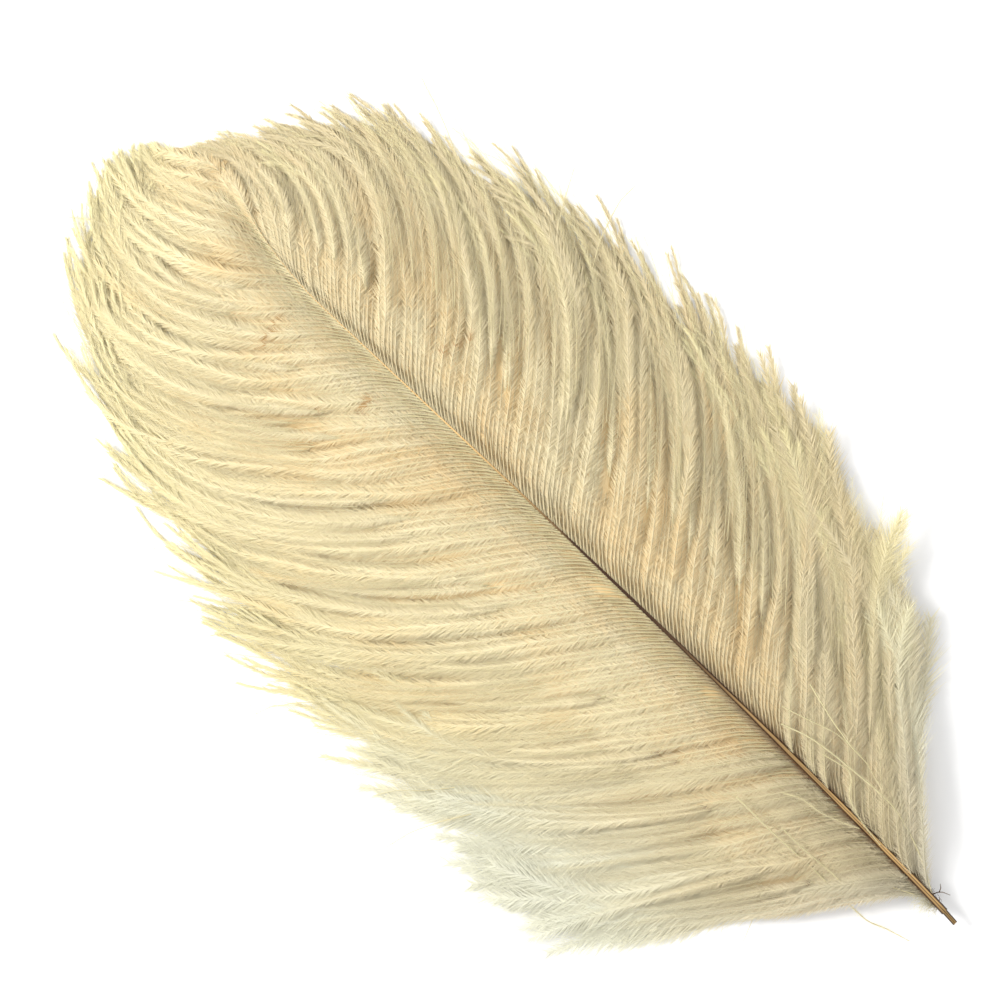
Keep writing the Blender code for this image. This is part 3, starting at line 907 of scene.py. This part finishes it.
def stretched(tree, vector, scale):
    node = tree.nodes.new("ShaderNodeMapping")
    node.inputs["Scale"].default_value = scale
    link(tree, vector, node.inputs["Vector"])
    return node.outputs[0]


def add_bump(tree, shader, height, strength, depth):
    node = tree.nodes.new("ShaderNodeBump")
    node.inputs["Strength"].default_value = strength
    node.inputs["Distance"].default_value = depth
    link(tree, height, node.inputs["Height"])
    link(tree, node.outputs[0], shader.inputs["Normal"])


def math_node(tree, operation, *values):
    node = tree.nodes.new("ShaderNodeMath")
    node.operation = operation
    for socket, value in zip(node.inputs, values):
        if isinstance(value, (int, float)):
            socket.default_value = value
        else:
            link(tree, value, socket)
    return node.outputs[0]


def clamp(tree, value):
    node = tree.nodes.new("ShaderNodeClamp")
    link(tree, value, node.inputs["Value"])
    return node.outputs[0]


def straight(tree, value, slope_and_offset):
    """A straight ramp of a value, held between 0 and 1."""
    return clamp(tree, math_node(tree, "MULTIPLY_ADD", value, *slope_and_offset))


def socket_of(sockets, name, kind):
    return next(socket for socket in sockets if socket.name == name and socket.type == kind)


def mix_colours(tree, share, first, second):
    node = tree.nodes.new("ShaderNodeMix")
    node.data_type = "RGBA"
    link(tree, share, socket_of(node.inputs, "Factor", "VALUE"))
    link(tree, first, socket_of(node.inputs, "A", "RGBA"))
    link(tree, second, socket_of(node.inputs, "B", "RGBA"))
    return socket_of(node.outputs, "Result", "RGBA")


def plume_tint_group():
    """Colour of barbs: pale and warm by lock and by patch, with their tips, frost, stains, painted shade
    over the vanes' foot, and frays.
    """
    name = "Plume tint"
    if name in bpy.data.node_groups:
        return bpy.data.node_groups[name]
    group = bpy.data.node_groups.new(name, "ShaderNodeTree")
    for label in ("Pale", "Warm", "Tip", "Frost", "Stain", "Fray"):
        group.interface.new_socket(label, in_out="INPUT", socket_type="NodeSocketColor")
    for label in ("Tone", "Along", "Root", "Stem", "Mark", "Warmth"):
        group.interface.new_socket(label, in_out="INPUT", socket_type="NodeSocketFloat")
    group.interface.new_socket("Colour", in_out="OUTPUT", socket_type="NodeSocketColor")
    given = group.nodes.new("NodeGroupInput").outputs
    result = group.nodes.new("NodeGroupOutput")
    place = group.nodes.new("ShaderNodeTexCoord").outputs["Object"]
    body = body_colour(group, given, place)
    frosted = mix_colours(group, frost_share(group, given, place), body, given["Frost"])
    stained_and_shaded = mix_colours(group, stain_and_shade_share(group, given), frosted, given["Stain"])
    frayed = math_node(group, "MULTIPLY", given["Mark"], FRAY_STRENGTH)
    link(group, mix_colours(group, frayed, stained_and_shaded, given["Fray"]), result.inputs["Colour"])
    return group


def body_colour(group, given, place):
    """Pale or warm by tone and patch, with lighter stems, partly their own paler colour and partly painted
    highlight, and the tips' own colour.
    """
    patch = math_node(group, "SUBTRACT", noise(group, place, PATCH_SCALE, PATCH_DETAIL), 0.5)
    patch = math_node(group, "MULTIPLY", patch, PATCH_STRENGTH)
    warm = math_node(group, "MULTIPLY_ADD", given["Tone"], TONE_STRENGTH, patch)
    warm = math_node(group, "ADD", warm, given["Warmth"])
    body = mix_colours(group, clamp(group, warm), given["Pale"], given["Warm"])
    # Lighter stems: partly their own paler colour, partly painted highlight.
    stem = math_node(group, "MULTIPLY", given["Stem"], STEM_STRENGTH)
    body = mix_colours(group, stem, body, given["Tip"])
    towards_tip = clamp(group, math_node(group, "POWER", given["Along"], TIP_POWER))
    return mix_colours(group, towards_tip, body, given["Tip"])


def frost_share(group, given, place):
    """Where the lowest barbs turn whitish: at the wide vane's outer ends and next to the foot."""
    split = group.nodes.new("ShaderNodeSeparateXYZ")
    link(group, place, split.inputs[0])
    aside = straight(group, split.outputs["X"], FAR_ASIDE)
    low = straight(group, given["Root"], LOW_ON_SHAFT)
    outer = straight(group, given["Along"], OUTER_HALF)
    ends = math_node(group, "MULTIPLY", math_node(group, "MULTIPLY", low, outer), aside)
    lowest = math_node(group, "MULTIPLY", straight(group, given["Root"], LOWEST_ROOTS), LOWEST_FROST)
    return math_node(group, "MAXIMUM", ends, lowest)


def stain_and_shade_share(group, given):
    """Where barbs are brown: a real stain at their bases on the lower shaft, and painted shade a little
    over the vanes' foot.
    """
    bases = math_node(group, "MULTIPLY", straight(group, given["Along"], NEXT_TO_SHAFT),
                      straight(group, given["Root"], LOWER_SHAFT))
    # Painted shade over the vanes' foot, on the inner half of the barbs.
    foot_shade = math_node(group, "MULTIPLY", straight(group, given["Root"], FOOT_OF_VANE),
                     straight(group, given["Along"], INNER_HALF))
    return math_node(group, "MAXIMUM", bases, math_node(group, "MULTIPLY", foot_shade, FOOT_SHADE))


def plume_material(name, colours, tip, warmth, see_through):
    """Barbs: matt, soft, and lit from behind through their thin walls."""
    material = bpy.data.materials.new(name)
    material.use_nodes = True
    tree = material.node_tree
    nodes = tree.nodes
    shader = nodes["Principled BSDF"]
    tint = nodes.new("ShaderNodeGroup")
    tint.node_tree = plume_tint_group()
    for label, colour in (("Pale", colours.pale), ("Warm", colours.warm), ("Tip", tip),
                          ("Frost", colours.frost), ("Stain", colours.stain), ("Fray", colours.fray)):
        tint.inputs[label].default_value = (*colour, 1.0)
    tint.inputs["Warmth"].default_value = warmth
    for label in ("Tone", "Along", "Root", "Stem", "Mark"):
        link(tree, attribute(tree, label.lower()), tint.inputs[label])
    colour = tint.outputs["Colour"]
    link(tree, colour, shader.inputs["Base Color"])
    link(tree, math_node(tree, "MULTIPLY_ADD", attribute(tree, "stem"), *PLUME_ROUGHNESS),
         shader.inputs["Roughness"])
    shader.inputs["Specular IOR Level"].default_value = PLUME_SPECULAR
    through = nodes.new("ShaderNodeBsdfTranslucent")
    link(tree, colour, through.inputs["Color"])
    both = nodes.new("ShaderNodeMixShader")
    both.inputs[0].default_value = see_through
    link(tree, shader.outputs[0], both.inputs[1])
    link(tree, through.outputs[0], both.inputs[2])
    link(tree, both.outputs[0], nodes["Material Output"].inputs["Surface"])
    return material


def heart_material(name, colours):
    """Lock hearts: warm plume, its warmth painted shade inside the locks, with fine ridges along the barbs.
    """
    material = plume_material(name, colours, colours.tip, HEART_SHADE_WARMTH, HEART_SEE_THROUGH)
    tree = material.node_tree
    place = tree.nodes.new("ShaderNodeUVMap")
    place.uv_map = BAKE_MAP
    streaks = noise(tree, stretched(tree, place.outputs["UV"], FIBRE_STRETCH), 1.0, FIBRE_DETAIL)
    add_bump(tree, tree.nodes["Principled BSDF"], streaks, FIBRE_STRENGTH, FIBRE_DEPTH)
    return material


def horn_material(name, colours):
    """Shaft: satin dark horn, partly painted shade along its sides, lighter where the tone is high, with a
    fine lengthwise grain.
    """
    material = bpy.data.materials.new(name)
    material.use_nodes = True
    tree = material.node_tree
    shader = tree.nodes["Principled BSDF"]
    place = tree.nodes.new("ShaderNodeTexCoord").outputs["Object"]
    grain = noise(tree, stretched(tree, place, HORN_GRAIN_STRETCH), HORN_GRAIN_SCALE, HORN_GRAIN_DETAIL)
    uneven = math_node(tree, "MULTIPLY", math_node(tree, "SUBTRACT", grain, 0.5), HORN_GRAIN_TONE)
    share = clamp(tree, math_node(tree, "ADD", attribute(tree, "tone"), uneven))
    colour = mix_colours(tree, share, plain_colour(tree, colours.horn), plain_colour(tree, colours.groove))
    link(tree, colour, shader.inputs["Base Color"])
    shader.inputs["Roughness"].default_value = HORN_ROUGHNESS
    shader.inputs["Specular IOR Level"].default_value = HORN_SPECULAR
    add_bump(tree, shader, grain, HORN_BUMP_STRENGTH, HORN_BUMP_DEPTH)
    return material


class FEATHER_OT_shaft(Operator):
    """Builds the horny shaft, grooved along its top, with the narrower stub at its cut foot"""
    bl_idname = "feather.shaft"
    bl_label = "Shaft"

    def execute(self, context):
        foot = context.scene.feather_sizes.foot_radius / MM
        even = np.linspace(STUB_LENGTH, SHAFT_LENGTH, SHAFT_STATIONS)
        stations = np.concatenate(((0.0, STUB_LENGTH - STUB_STEP), even))
        turns = np.radians(90 + 360 * np.arange(SHAFT_CORNERS) / SHAFT_CORNERS)
        across, upward = np.cos(turns), np.sin(turns) * SECTION_DEPTH
        points = self.skin(stations, foot, across, upward)
        tone = self.tone(stations, across, upward)
        ends = np.stack((points[0].mean(0), points[-1].mean(0)))
        along = np.concatenate((np.repeat(stations / SHAFT_LENGTH, SHAFT_CORNERS), (0.0, 1.0)))
        corner_places = np.arange(SHAFT_CORNERS) / SHAFT_CORNERS
        around = np.concatenate((np.tile(corner_places, len(stations)), (0.5, 0.5)))
        tone = np.concatenate((tone.ravel(), (CUT_TONE, 0.0)))
        pile = Pile()
        pile.add(np.concatenate((points.reshape(-1, 3), ends)), self.faces(len(stations)),
                 along, tone, along, np.column_stack((along, around)))
        pile.piece("shaft", horn_material("shaft_horn", context.scene.feather_colours))
        return {"FINISHED"}

    @staticmethod
    def skin(stations, foot, across, upward):
        """Rings of corners round the shaft's middle line, pressed in at the groove."""
        half = foot * np.interp(stations, HALF_WIDTH_PLACES, HALF_WIDTHS)[:, None]
        groove = GROOVE_DEPTH * np.exp(-(across / GROOVE_WIDTH) ** 2) * (upward > 0)
        return np.stack((shaft_plan(stations)[:, None] + half * across,
                         np.repeat(stations[:, None], len(across), 1),
                         shaft_height(stations)[:, None] + half * (upward - groove)), -1)

    @staticmethod
    def tone(stations, across, upward):
        """Light along the groove, in two stripes near the foot, and all over the thin end; elsewhere the
        shaft stays dark, partly as painted shade along its sides.
        """
        twin_share = np.interp(stations, *TWIN_SHARE)[:, None]
        single = np.exp(-(across / STRIPE_WIDTH) ** 2)
        twin = np.exp(-((np.abs(across) - TWIN_OFFSET) / TWIN_WIDTH) ** 2)
        stripe = mix(single, twin, twin_share) * (upward > 0)
        return np.maximum(stripe * np.interp(stations, *STRIPE_STRENGTH)[:, None],
                          PALE_END.at(stations)[:, None])

    @staticmethod
    def faces(rings):
        """Triangles of the skin and of both ends, which fan out from two middle points."""
        index = np.arange(rings * SHAFT_CORNERS).reshape(-1, SHAFT_CORNERS)
        middle = np.full(SHAFT_CORNERS, rings * SHAFT_CORNERS)
        foot = np.stack((np.roll(index[0], -1), index[0], middle), -1)
        tip = np.stack((index[-1], np.roll(index[-1], -1), middle + 1), -1)
        return np.concatenate((ring_faces(index), foot, tip))


class FEATHER_OT_vanes(Operator):
    """Builds both vanes barb by barb, with the barbules, and the dense hearts of the locks"""
    bl_idname = "feather.vanes"
    bl_label = "Vanes"

    def execute(self, context):
        sizes = context.scene.feather_sizes
        colours = context.scene.feather_colours
        heart_stuff = heart_material("lock_hearts", colours)
        for label, side, table in SIDES:
            # The narrow vane's darker tips are painted shade on the side away from the light.
            tip = colours.shaded_tip if side > 0 else colours.tip
            barb_stuff = plume_material(f"{label}_barbs", colours, tip, BARB_WARMTH, BARB_SEE_THROUGH)
            chance = np.random.default_rng(sizes.seed + (side > 0))
            locks = make_locks(side, table, sizes, chance)
            for level, layer in (("upper", UPPER), ("lower", LOWER)):
                barbs = make_barbs(side, table, locks, layer, sizes, chance)
                count = len(barbs["roots"])
                part_of = np.arange(count) * layer.parts // count
                for part in range(layer.parts):
                    pile = Pile()
                    chosen = {key: value[part_of == part] for key, value in barbs.items()}
                    self.add_plumes(pile, chosen, layer, sizes, chance)
                    pile.piece(f"{label}_vane_{level}_{part + 1}", barb_stuff)
            pile = Pile()
            self.add_hearts(pile, side, table, locks)
            pile.piece(f"{label}_lock_hearts", heart_stuff)
        return {"FINISHED"}

    @staticmethod
    def add_plumes(pile, barbs, layer, sizes, chance):
        """Barbs as tubes, with their barbules."""
        shares = np.broadcast_to(SHARES, barbs["points"].shape[:2])
        root = np.broadcast_to(barbs["roots"][:, None] / SHAFT_LENGTH, shares.shape)
        kept = slice(None, None, layer.thinning)
        add_tubes(pile, barbs["points"][:, kept], barb_radius(sizes, shares)[:, kept], shares[:, kept],
                  TUBE_TONE * barbs["tone"][:, kept], root[:, kept])
        add_barbules(pile, barbs, sizes.barbule_pitch / MM * layer.barbule_pitch,
                     sizes.barbule_length / MM, sizes.barbule_width / MM * layer.barbule_width, chance)

    def add_hearts(self, pile, side, table, locks):
        """The dense inside of each lock, in two layers, so that no light falls straight through."""
        lengths = barb_lengths(table, locks["roots"]) * locks["stretch"]
        spacing = np.diff(locks["edges"])
        for shift, depth, reach in HEART_LAYERS:
            roots = np.clip(locks["roots"] + shift * spacing, FIRST_ROOT, LAST_ROOT)
            turn = locks["turn"] * (shift == 0)
            plans = barb_plans(side, table, roots, locks["stretch"] * reach, turn)
            top = vane_top(side, roots, lengths, SHARES[None, :] * reach)
            height = np.maximum(top - mix(HEART_ROOT_DEPTH, depth, HEART_SINK.at(SHARES)), HEART_LOWEST)
            step = np.abs(unit(np.gradient(plans, axis=1))[..., 0])
            wide = HEART_WIDTH * spacing[:, None] * np.maximum(step, HEART_LEAST_STEP)
            wide = wide * HEART_NARROWING.at(SHARES) * HEART_END.at(SHARES) + HEART_LEAST_WIDTH
            deep = np.minimum(wide * HEART_DEPTH, np.maximum(height - TABLE_GAP, HEART_LEAST_DEPTH))
            points = np.dstack((plans, height))
            self.add_spindles(pile, points[:, ::2], wide[:, ::2], deep[:, ::2], locks["tone"], roots)

    @staticmethod
    def add_spindles(pile, points, wide, deep, tone, roots):
        """Closed bodies with an eight-cornered section, wide across and less deep."""
        curves, stations = points.shape[:2]
        left, up = directions_along(points)
        turns = 2 * np.pi * (np.arange(HEART_CORNERS) + 0.5) / HEART_CORNERS
        skin = (points[:, :, None] + left[:, :, None] * (wide[..., None] * np.cos(turns))[..., None]
                + up[:, :, None] * (deep[..., None] * np.sin(turns))[..., None])
        index = np.arange(curves * stations * HEART_CORNERS).reshape(curves, stations, HEART_CORNERS)
        faces = [ring_faces(index)]
        for corner in range(1, HEART_CORNERS - 1):
            first, last = index[:, 0], index[:, -1]
            faces.append(np.stack((first[:, 0], first[:, corner], first[:, corner + 1]), -1))
            faces.append(np.stack((last[:, 0], last[:, corner + 1], last[:, corner]), -1))
        along = np.broadcast_to(np.linspace(0, 1, stations)[None, :, None], index.shape)
        around = (np.arange(HEART_CORNERS) + 0.5) / HEART_CORNERS
        rows = np.broadcast_to((np.arange(curves)[:, None, None] + around) / curves, index.shape)
        tones = np.broadcast_to(tone[:, None, None], index.shape)
        root = np.broadcast_to(roots[:, None, None] / SHAFT_LENGTH, index.shape)
        pile.add(skin.reshape(-1, 3), np.concatenate(faces), along.ravel() * HEART_ALONG,
                 tones.ravel(), root.ravel(), np.column_stack((along.ravel(), rows.ravel())))


class FEATHER_OT_loose_barbs(Operator):
    """Builds barbs that have come loose, thin ends past the outline, and the bristles at the foot"""
    bl_idname = "feather.loose_barbs"
    bl_label = "Loose barbs"

    def execute(self, context):
        sizes = context.scene.feather_sizes
        colours = context.scene.feather_colours
        chance = np.random.default_rng(sizes.seed + LOOSE_SEED)
        stuff = plume_material("loose_barb", colours, colours.tip, LOOSE_WARMTH, BARB_SEE_THROUGH)
        pile = Pile()
        self.add_strays(pile, chance)
        for _, side, table in SIDES:
            self.add_whiskers(pile, side, table, sizes, chance)
        pile.piece("loose_barbs", stuff)
        for label, side, table in SIDES:
            pile = Pile()
            for patch in (LOOSE_LOCKS, DOWN_OVER_FOOT):
                self.add_loose_locks(pile, side, table, sizes, chance, patch)
            pile.piece(f"{label}_loose_locks", stuff)
        pile = Pile()
        self.add_hairs(pile, chance, BRISTLES_AT_FOOT)
        self.add_shred(pile)
        pile.piece("foot_bristles", horn_material("foot_bristle", colours))
        pile = Pile()
        self.add_hairs(pile, chance, DOWN_AT_FOOT)
        pile.piece("foot_down", stuff)
        return {"FINISHED"}

    @staticmethod
    def stray_curve(route, chance):
        """A smoothed, slightly wobbling curve through a stray's places."""
        places = np.array(route, float)
        knots = np.linspace(0, 1, len(places))
        curve = np.stack([np.interp(SHARES, knots, places[:, axis]) for axis in range(3)], -1)
        for _ in range(STRAY_SMOOTHING):
            curve[1:-1] = (curve[:-2] + 2 * curve[1:-1] + curve[2:]) / 4
        wobble = np.cumsum(np.cumsum(chance.normal(0, STRAY_WOBBLE, (STATIONS, 2)), 0), 0)
        curve[:, :2] += wobble - SHARES[:, None] * wobble[-1]
        return curve

    def add_strays(self, pile, chance):
        """Single loose barbs along their routes, most of them with short barbules."""
        for stray in STRAYS:
            curve = self.stray_curve(stray.route, chance)
            length = np.linalg.norm(np.diff(curve, axis=0), axis=1).sum()
            along = mix(*STRAY_ALONG, SHARES)[None]
            tone = np.full_like(along, STRAY_TONE)
            radius = STRAY_THICKENING * stray.radius * mix(1.0, STRAY_TAPER, SHARES)[None]
            add_tubes(pile, curve[None], radius, along, tone, np.full_like(along, STRAY_TUBE_ROOT))
            if stray.barbule:
                barb = {"roots": np.array((STRAY_ROOT,)), "lengths": np.array((length,)),
                        "points": curve[None], "tone": tone}
                add_barbules(pile, barb, STRAY_BARBULE_PITCH, stray.barbule * STRAY_BARBULE_LENGTH,
                             STRAY_BARBULE_WIDTH, chance)

    @staticmethod
    def add_loose_locks(pile, side, table, sizes, chance, patch):
        """Small locks that have come free and lie over the vane at headings of their own."""
        lock = np.repeat(np.arange(patch.count), patch.strands)
        total = len(lock)
        roots = np.sort(chance.uniform(*patch.roots, patch.count))[lock]
        roots = roots + chance.normal(0, STRAND_ROOTS, total)
        stretch = chance.uniform(*patch.stretch, patch.count)[lock] * chance.uniform(*STRAND_STRETCH, total)
        turn = chance.normal(*patch.turn, patch.count)[lock] + chance.normal(0, STRAND_TURN, total)
        curl = chance.normal(*LOOSE_CURL, patch.count)[lock] + chance.normal(0, STRAND_CURL, total)
        plans = barb_plans(side, table, roots, stretch, turn, curl)
        lengths = barb_lengths(table, roots) * stretch
        start = int(patch.start * (STATIONS - 1))
        height = vane_top(side, roots, lengths, SHARES[None]) + chance.normal(*patch.lift, total)[:, None]
        points = np.dstack((plans, np.maximum(height, LOOSE_LOWEST)))[:, start:]
        buried = np.linspace(STRAND_BURIED_DEPTH, 0.0, STRAND_BURIED_STATIONS)
        points[:, :STRAND_BURIED_STATIONS, 2] -= buried
        shares = np.broadcast_to(SHARES[start:], points.shape[:2])
        tone = np.repeat(chance.uniform(*STRAND_TONE, total)[:, None], points.shape[1], 1)
        root = np.broadcast_to(roots[:, None] / SHAFT_LENGTH, shares.shape)
        radius = STRAND_THICKNESS * barb_radius(sizes, shares)
        add_tubes(pile, points[:, ::2], radius[:, ::2], shares[:, ::2], tone[:, ::2], root[:, ::2])
        barbs = {"roots": roots, "lengths": lengths * (1 - patch.start), "points": points, "tone": tone}
        add_barbules(pile, barbs, patch.barbule_pitch, patch.barbule_length, patch.barbule_width, chance)

    @staticmethod
    def add_whiskers(pile, side, table, sizes, chance):
        """Thin barbs whose ends stand out past the vane's outline."""
        roots = np.sort(chance.uniform(FIRST_ROOT, WHISKER_LAST_ROOT, WHISKERS))
        stretch = chance.uniform(*WHISKER_STRETCH, WHISKERS)
        turn = chance.normal(*WHISKER_TURN, WHISKERS)
        plans = barb_plans(side, table, roots, stretch, turn, chance.normal(*LOOSE_CURL, WHISKERS))
        bow = np.sin(np.pi * SHARES ** 2) * chance.normal(0, WHISKER_BOW, (WHISKERS, 1))
        plans = plans + plan_normals(plans) * bow[..., None]
        lengths = barb_lengths(table, roots) * stretch
        height = vane_top(side, roots, lengths, SHARES[None]) + chance.uniform(*WHISKER_LIFT, (WHISKERS, 1))
        points = np.dstack((plans, np.maximum(height, WHISKER_LOWEST)))[:, WHISKER_FIRST_STATION:]
        shares = np.broadcast_to(SHARES[WHISKER_FIRST_STATION:], points.shape[:2])
        tone = np.full(shares.shape, WHISKER_TONE)
        root = np.broadcast_to(roots[:, None] / SHAFT_LENGTH, shares.shape)
        add_tubes(pile, points, mix(*WHISKER_RADII, shares), shares, tone, root)
        barbs = {"roots": roots, "lengths": lengths * WHISKER_LENGTH_SHOWN, "points": points, "tone": tone}
        add_barbules(pile, barbs, WHISKER_BARBULE_PITCH, sizes.barbule_length / MM * WHISKER_BARBULE_LENGTH,
                     WHISKER_BARBULE_WIDTH, chance)

    @staticmethod
    def add_shred(pile):
        """The twig-like shred at the foot."""
        for places in SHRED:
            places = np.array(places)[None]
            shares = np.linspace(0, 1, places.shape[1])[None]
            add_tubes(pile, places, SHRED_RADIUS * mix(1.0, SHRED_TAPER, shares), shares,
                      shares * SHRED_TONE, shares * 0, sides=SHRED_SIDES)

    @staticmethod
    def add_hairs(pile, chance, patch):
        """Short hairs that leave the shaft within a stretch of it."""
        y = chance.uniform(*patch.stretch, patch.count)[:, None]
        x = shaft_plan(y) + chance.uniform(*patch.offset, patch.count)[:, None]
        z = shaft_height(y) + chance.uniform(*patch.lift, patch.count)[:, None]
        heading = np.radians(chance.uniform(*patch.heading, patch.count))[:, None]
        length = chance.uniform(*patch.length, patch.count)[:, None]
        steps = np.linspace(0, 1, HAIR_STATIONS)
        heading = heading + chance.normal(0, HAIR_BEND, (patch.count, 1)) * steps
        rise = chance.normal(0, HAIR_RISE, (patch.count, 1))
        points = np.stack((x + length * steps * np.sin(heading), y + length * steps * np.cos(heading),
                           z + length * steps * rise), -1)
        shares = np.broadcast_to(steps, points.shape[:2])
        add_tubes(pile, points, patch.radius * mix(1.0, HAIR_TAPER, shares), shares,
                  np.full(shares.shape, patch.tone), np.full(shares.shape, HAIR_ROOT))


def along_picture(pixels):
    """Turns an offset in picture pixels, x to the right and y down, into one on the table."""
    return PICTURE_RIGHT[:2] * pixels[0] - PICTURE_UP[:2] * pixels[1]


def rotation_towards(place, aim):
    return (Vector(aim) - Vector(place)).to_track_quat("-Z", "Y").to_euler()


class FEATHER_OT_stage(Operator):
    """Builds the pale floor, the soft studio light and the camera above the feather"""
    bl_idname = "feather.stage"
    bl_label = "Stage"

    def execute(self, context):
        stage = context.scene.feather_stage
        self.make_floor(context)
        self.make_surroundings(context, stage)
        self.make_key_light(context, stage)
        self.make_camera(context, stage)
        context.scene.view_settings.view_transform = "Standard"
        context.scene.cycles.denoising_prefilter = "NONE"
        context.scene.cycles.max_bounces = LIGHT_BOUNCES
        context.scene.cycles.debug_use_spatial_splits = True
        return {"FINISHED"}

    @staticmethod
    def make_floor(context):
        material = bpy.data.materials.new("floor_paper")
        material.use_nodes = True
        shader = material.node_tree.nodes["Principled BSDF"]
        shader.inputs["Base Color"].default_value = FLOOR_COLOUR
        shader.inputs["Roughness"].default_value = FLOOR_ROUGHNESS
        corners = [(x * FLOOR_HALF, y * FLOOR_HALF, 0) for x, y in ((-1, -1), (1, -1), (1, 1), (-1, 1))]
        mesh = bpy.data.meshes.new("floor")
        mesh.from_pydata(corners, [], [(0, 1, 2, 3)])
        mesh.materials.append(material)
        floor = bpy.data.objects.new("floor", mesh)
        context.scene.collection.objects.link(floor)

    @staticmethod
    def make_surroundings(context, stage):
        world = bpy.data.worlds.new("studio")
        world.use_nodes = True
        background = world.node_tree.nodes["Background"]
        background.inputs["Color"].default_value = STUDIO_COLOUR
        background.inputs["Strength"].default_value = stage.ambient
        context.scene.world = world

    @staticmethod
    def make_key_light(context, stage):
        data = bpy.data.lights.new("key", "AREA")
        data.shape = "DISK"
        data.size = KEY_SIZE
        data.energy = stage.key_power
        data.color = KEY_COLOUR
        key = bpy.data.objects.new("key", data)
        aim = np.array((FOOT[0], FOOT[1] + KEY_AIM_ALONG_SHAFT, 0.0))
        towards = PICTURE_RIGHT * KEY_RIGHT + PICTURE_UP * KEY_UP + np.array((0.0, 0.0, KEY_ABOVE))
        place = aim + unit(towards) * KEY_DISTANCE
        key.location = place
        key.rotation_euler = rotation_towards(place, aim)
        context.scene.collection.objects.link(key)

    @staticmethod
    def make_camera(context, stage):
        scale = PICTURE_MM * MM
        aim = FOOT[:2] + along_picture(PICTURE_CENTRE - FOOT_PIXEL) * scale
        data = bpy.data.cameras.new("camera")
        data.sensor_width = SENSOR_WIDTH
        data.lens = SENSOR_WIDTH * stage.camera_distance / (PICTURE_SIDE * scale)
        data.clip_end = SIGHT_LIMIT
        camera = bpy.data.objects.new("camera", data)
        camera.location = (aim[0], aim[1], stage.camera_distance + SIGHT_HEIGHT * MM)
        camera.rotation_euler = (0.0, 0.0, math.atan2(PICTURE_RIGHT[1], PICTURE_RIGHT[0]))
        context.scene.collection.objects.link(camera)
        context.scene.camera = camera


class FEATHER_PT_panel(Panel):
    """Lists the feather's pieces, sizes and colours"""
    bl_idname = "FEATHER_PT_panel"
    bl_label = "Ostrich feather"
    bl_space_type = "VIEW_3D"
    bl_region_type = "UI"
    bl_category = "Feather"

    def draw(self, context):
        layout = self.layout
        for operator in OPERATORS:
            layout.operator(operator.bl_idname)
        scene = context.scene
        for group in (scene.feather_sizes, scene.feather_colours, scene.feather_stage):
            box = layout.box()
            for name in group.__annotations__:
                box.prop(group, name)


GROUPS = (FeatherSizes, FeatherColours, FeatherStage)
OPERATORS = (FEATHER_OT_stage, FEATHER_OT_shaft, FEATHER_OT_vanes, FEATHER_OT_loose_barbs)


def register():
    for made in (*GROUPS, *OPERATORS, FEATHER_PT_panel):
        bpy.utils.register_class(made)
    bpy.types.Scene.feather_sizes = PointerProperty(type=FeatherSizes)
    bpy.types.Scene.feather_colours = PointerProperty(type=FeatherColours)
    bpy.types.Scene.feather_stage = PointerProperty(type=FeatherStage)


def unregister():
    del bpy.types.Scene.feather_stage
    del bpy.types.Scene.feather_colours
    del bpy.types.Scene.feather_sizes
    for made in reversed((*GROUPS, *OPERATORS, FEATHER_PT_panel)):
        bpy.utils.unregister_class(made)


def main():
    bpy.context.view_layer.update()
    register()
    bpy.ops.feather.stage()
    bpy.ops.feather.shaft()
    bpy.ops.feather.vanes()
    bpy.ops.feather.loose_barbs()


if __name__ == "__main__":
    main()
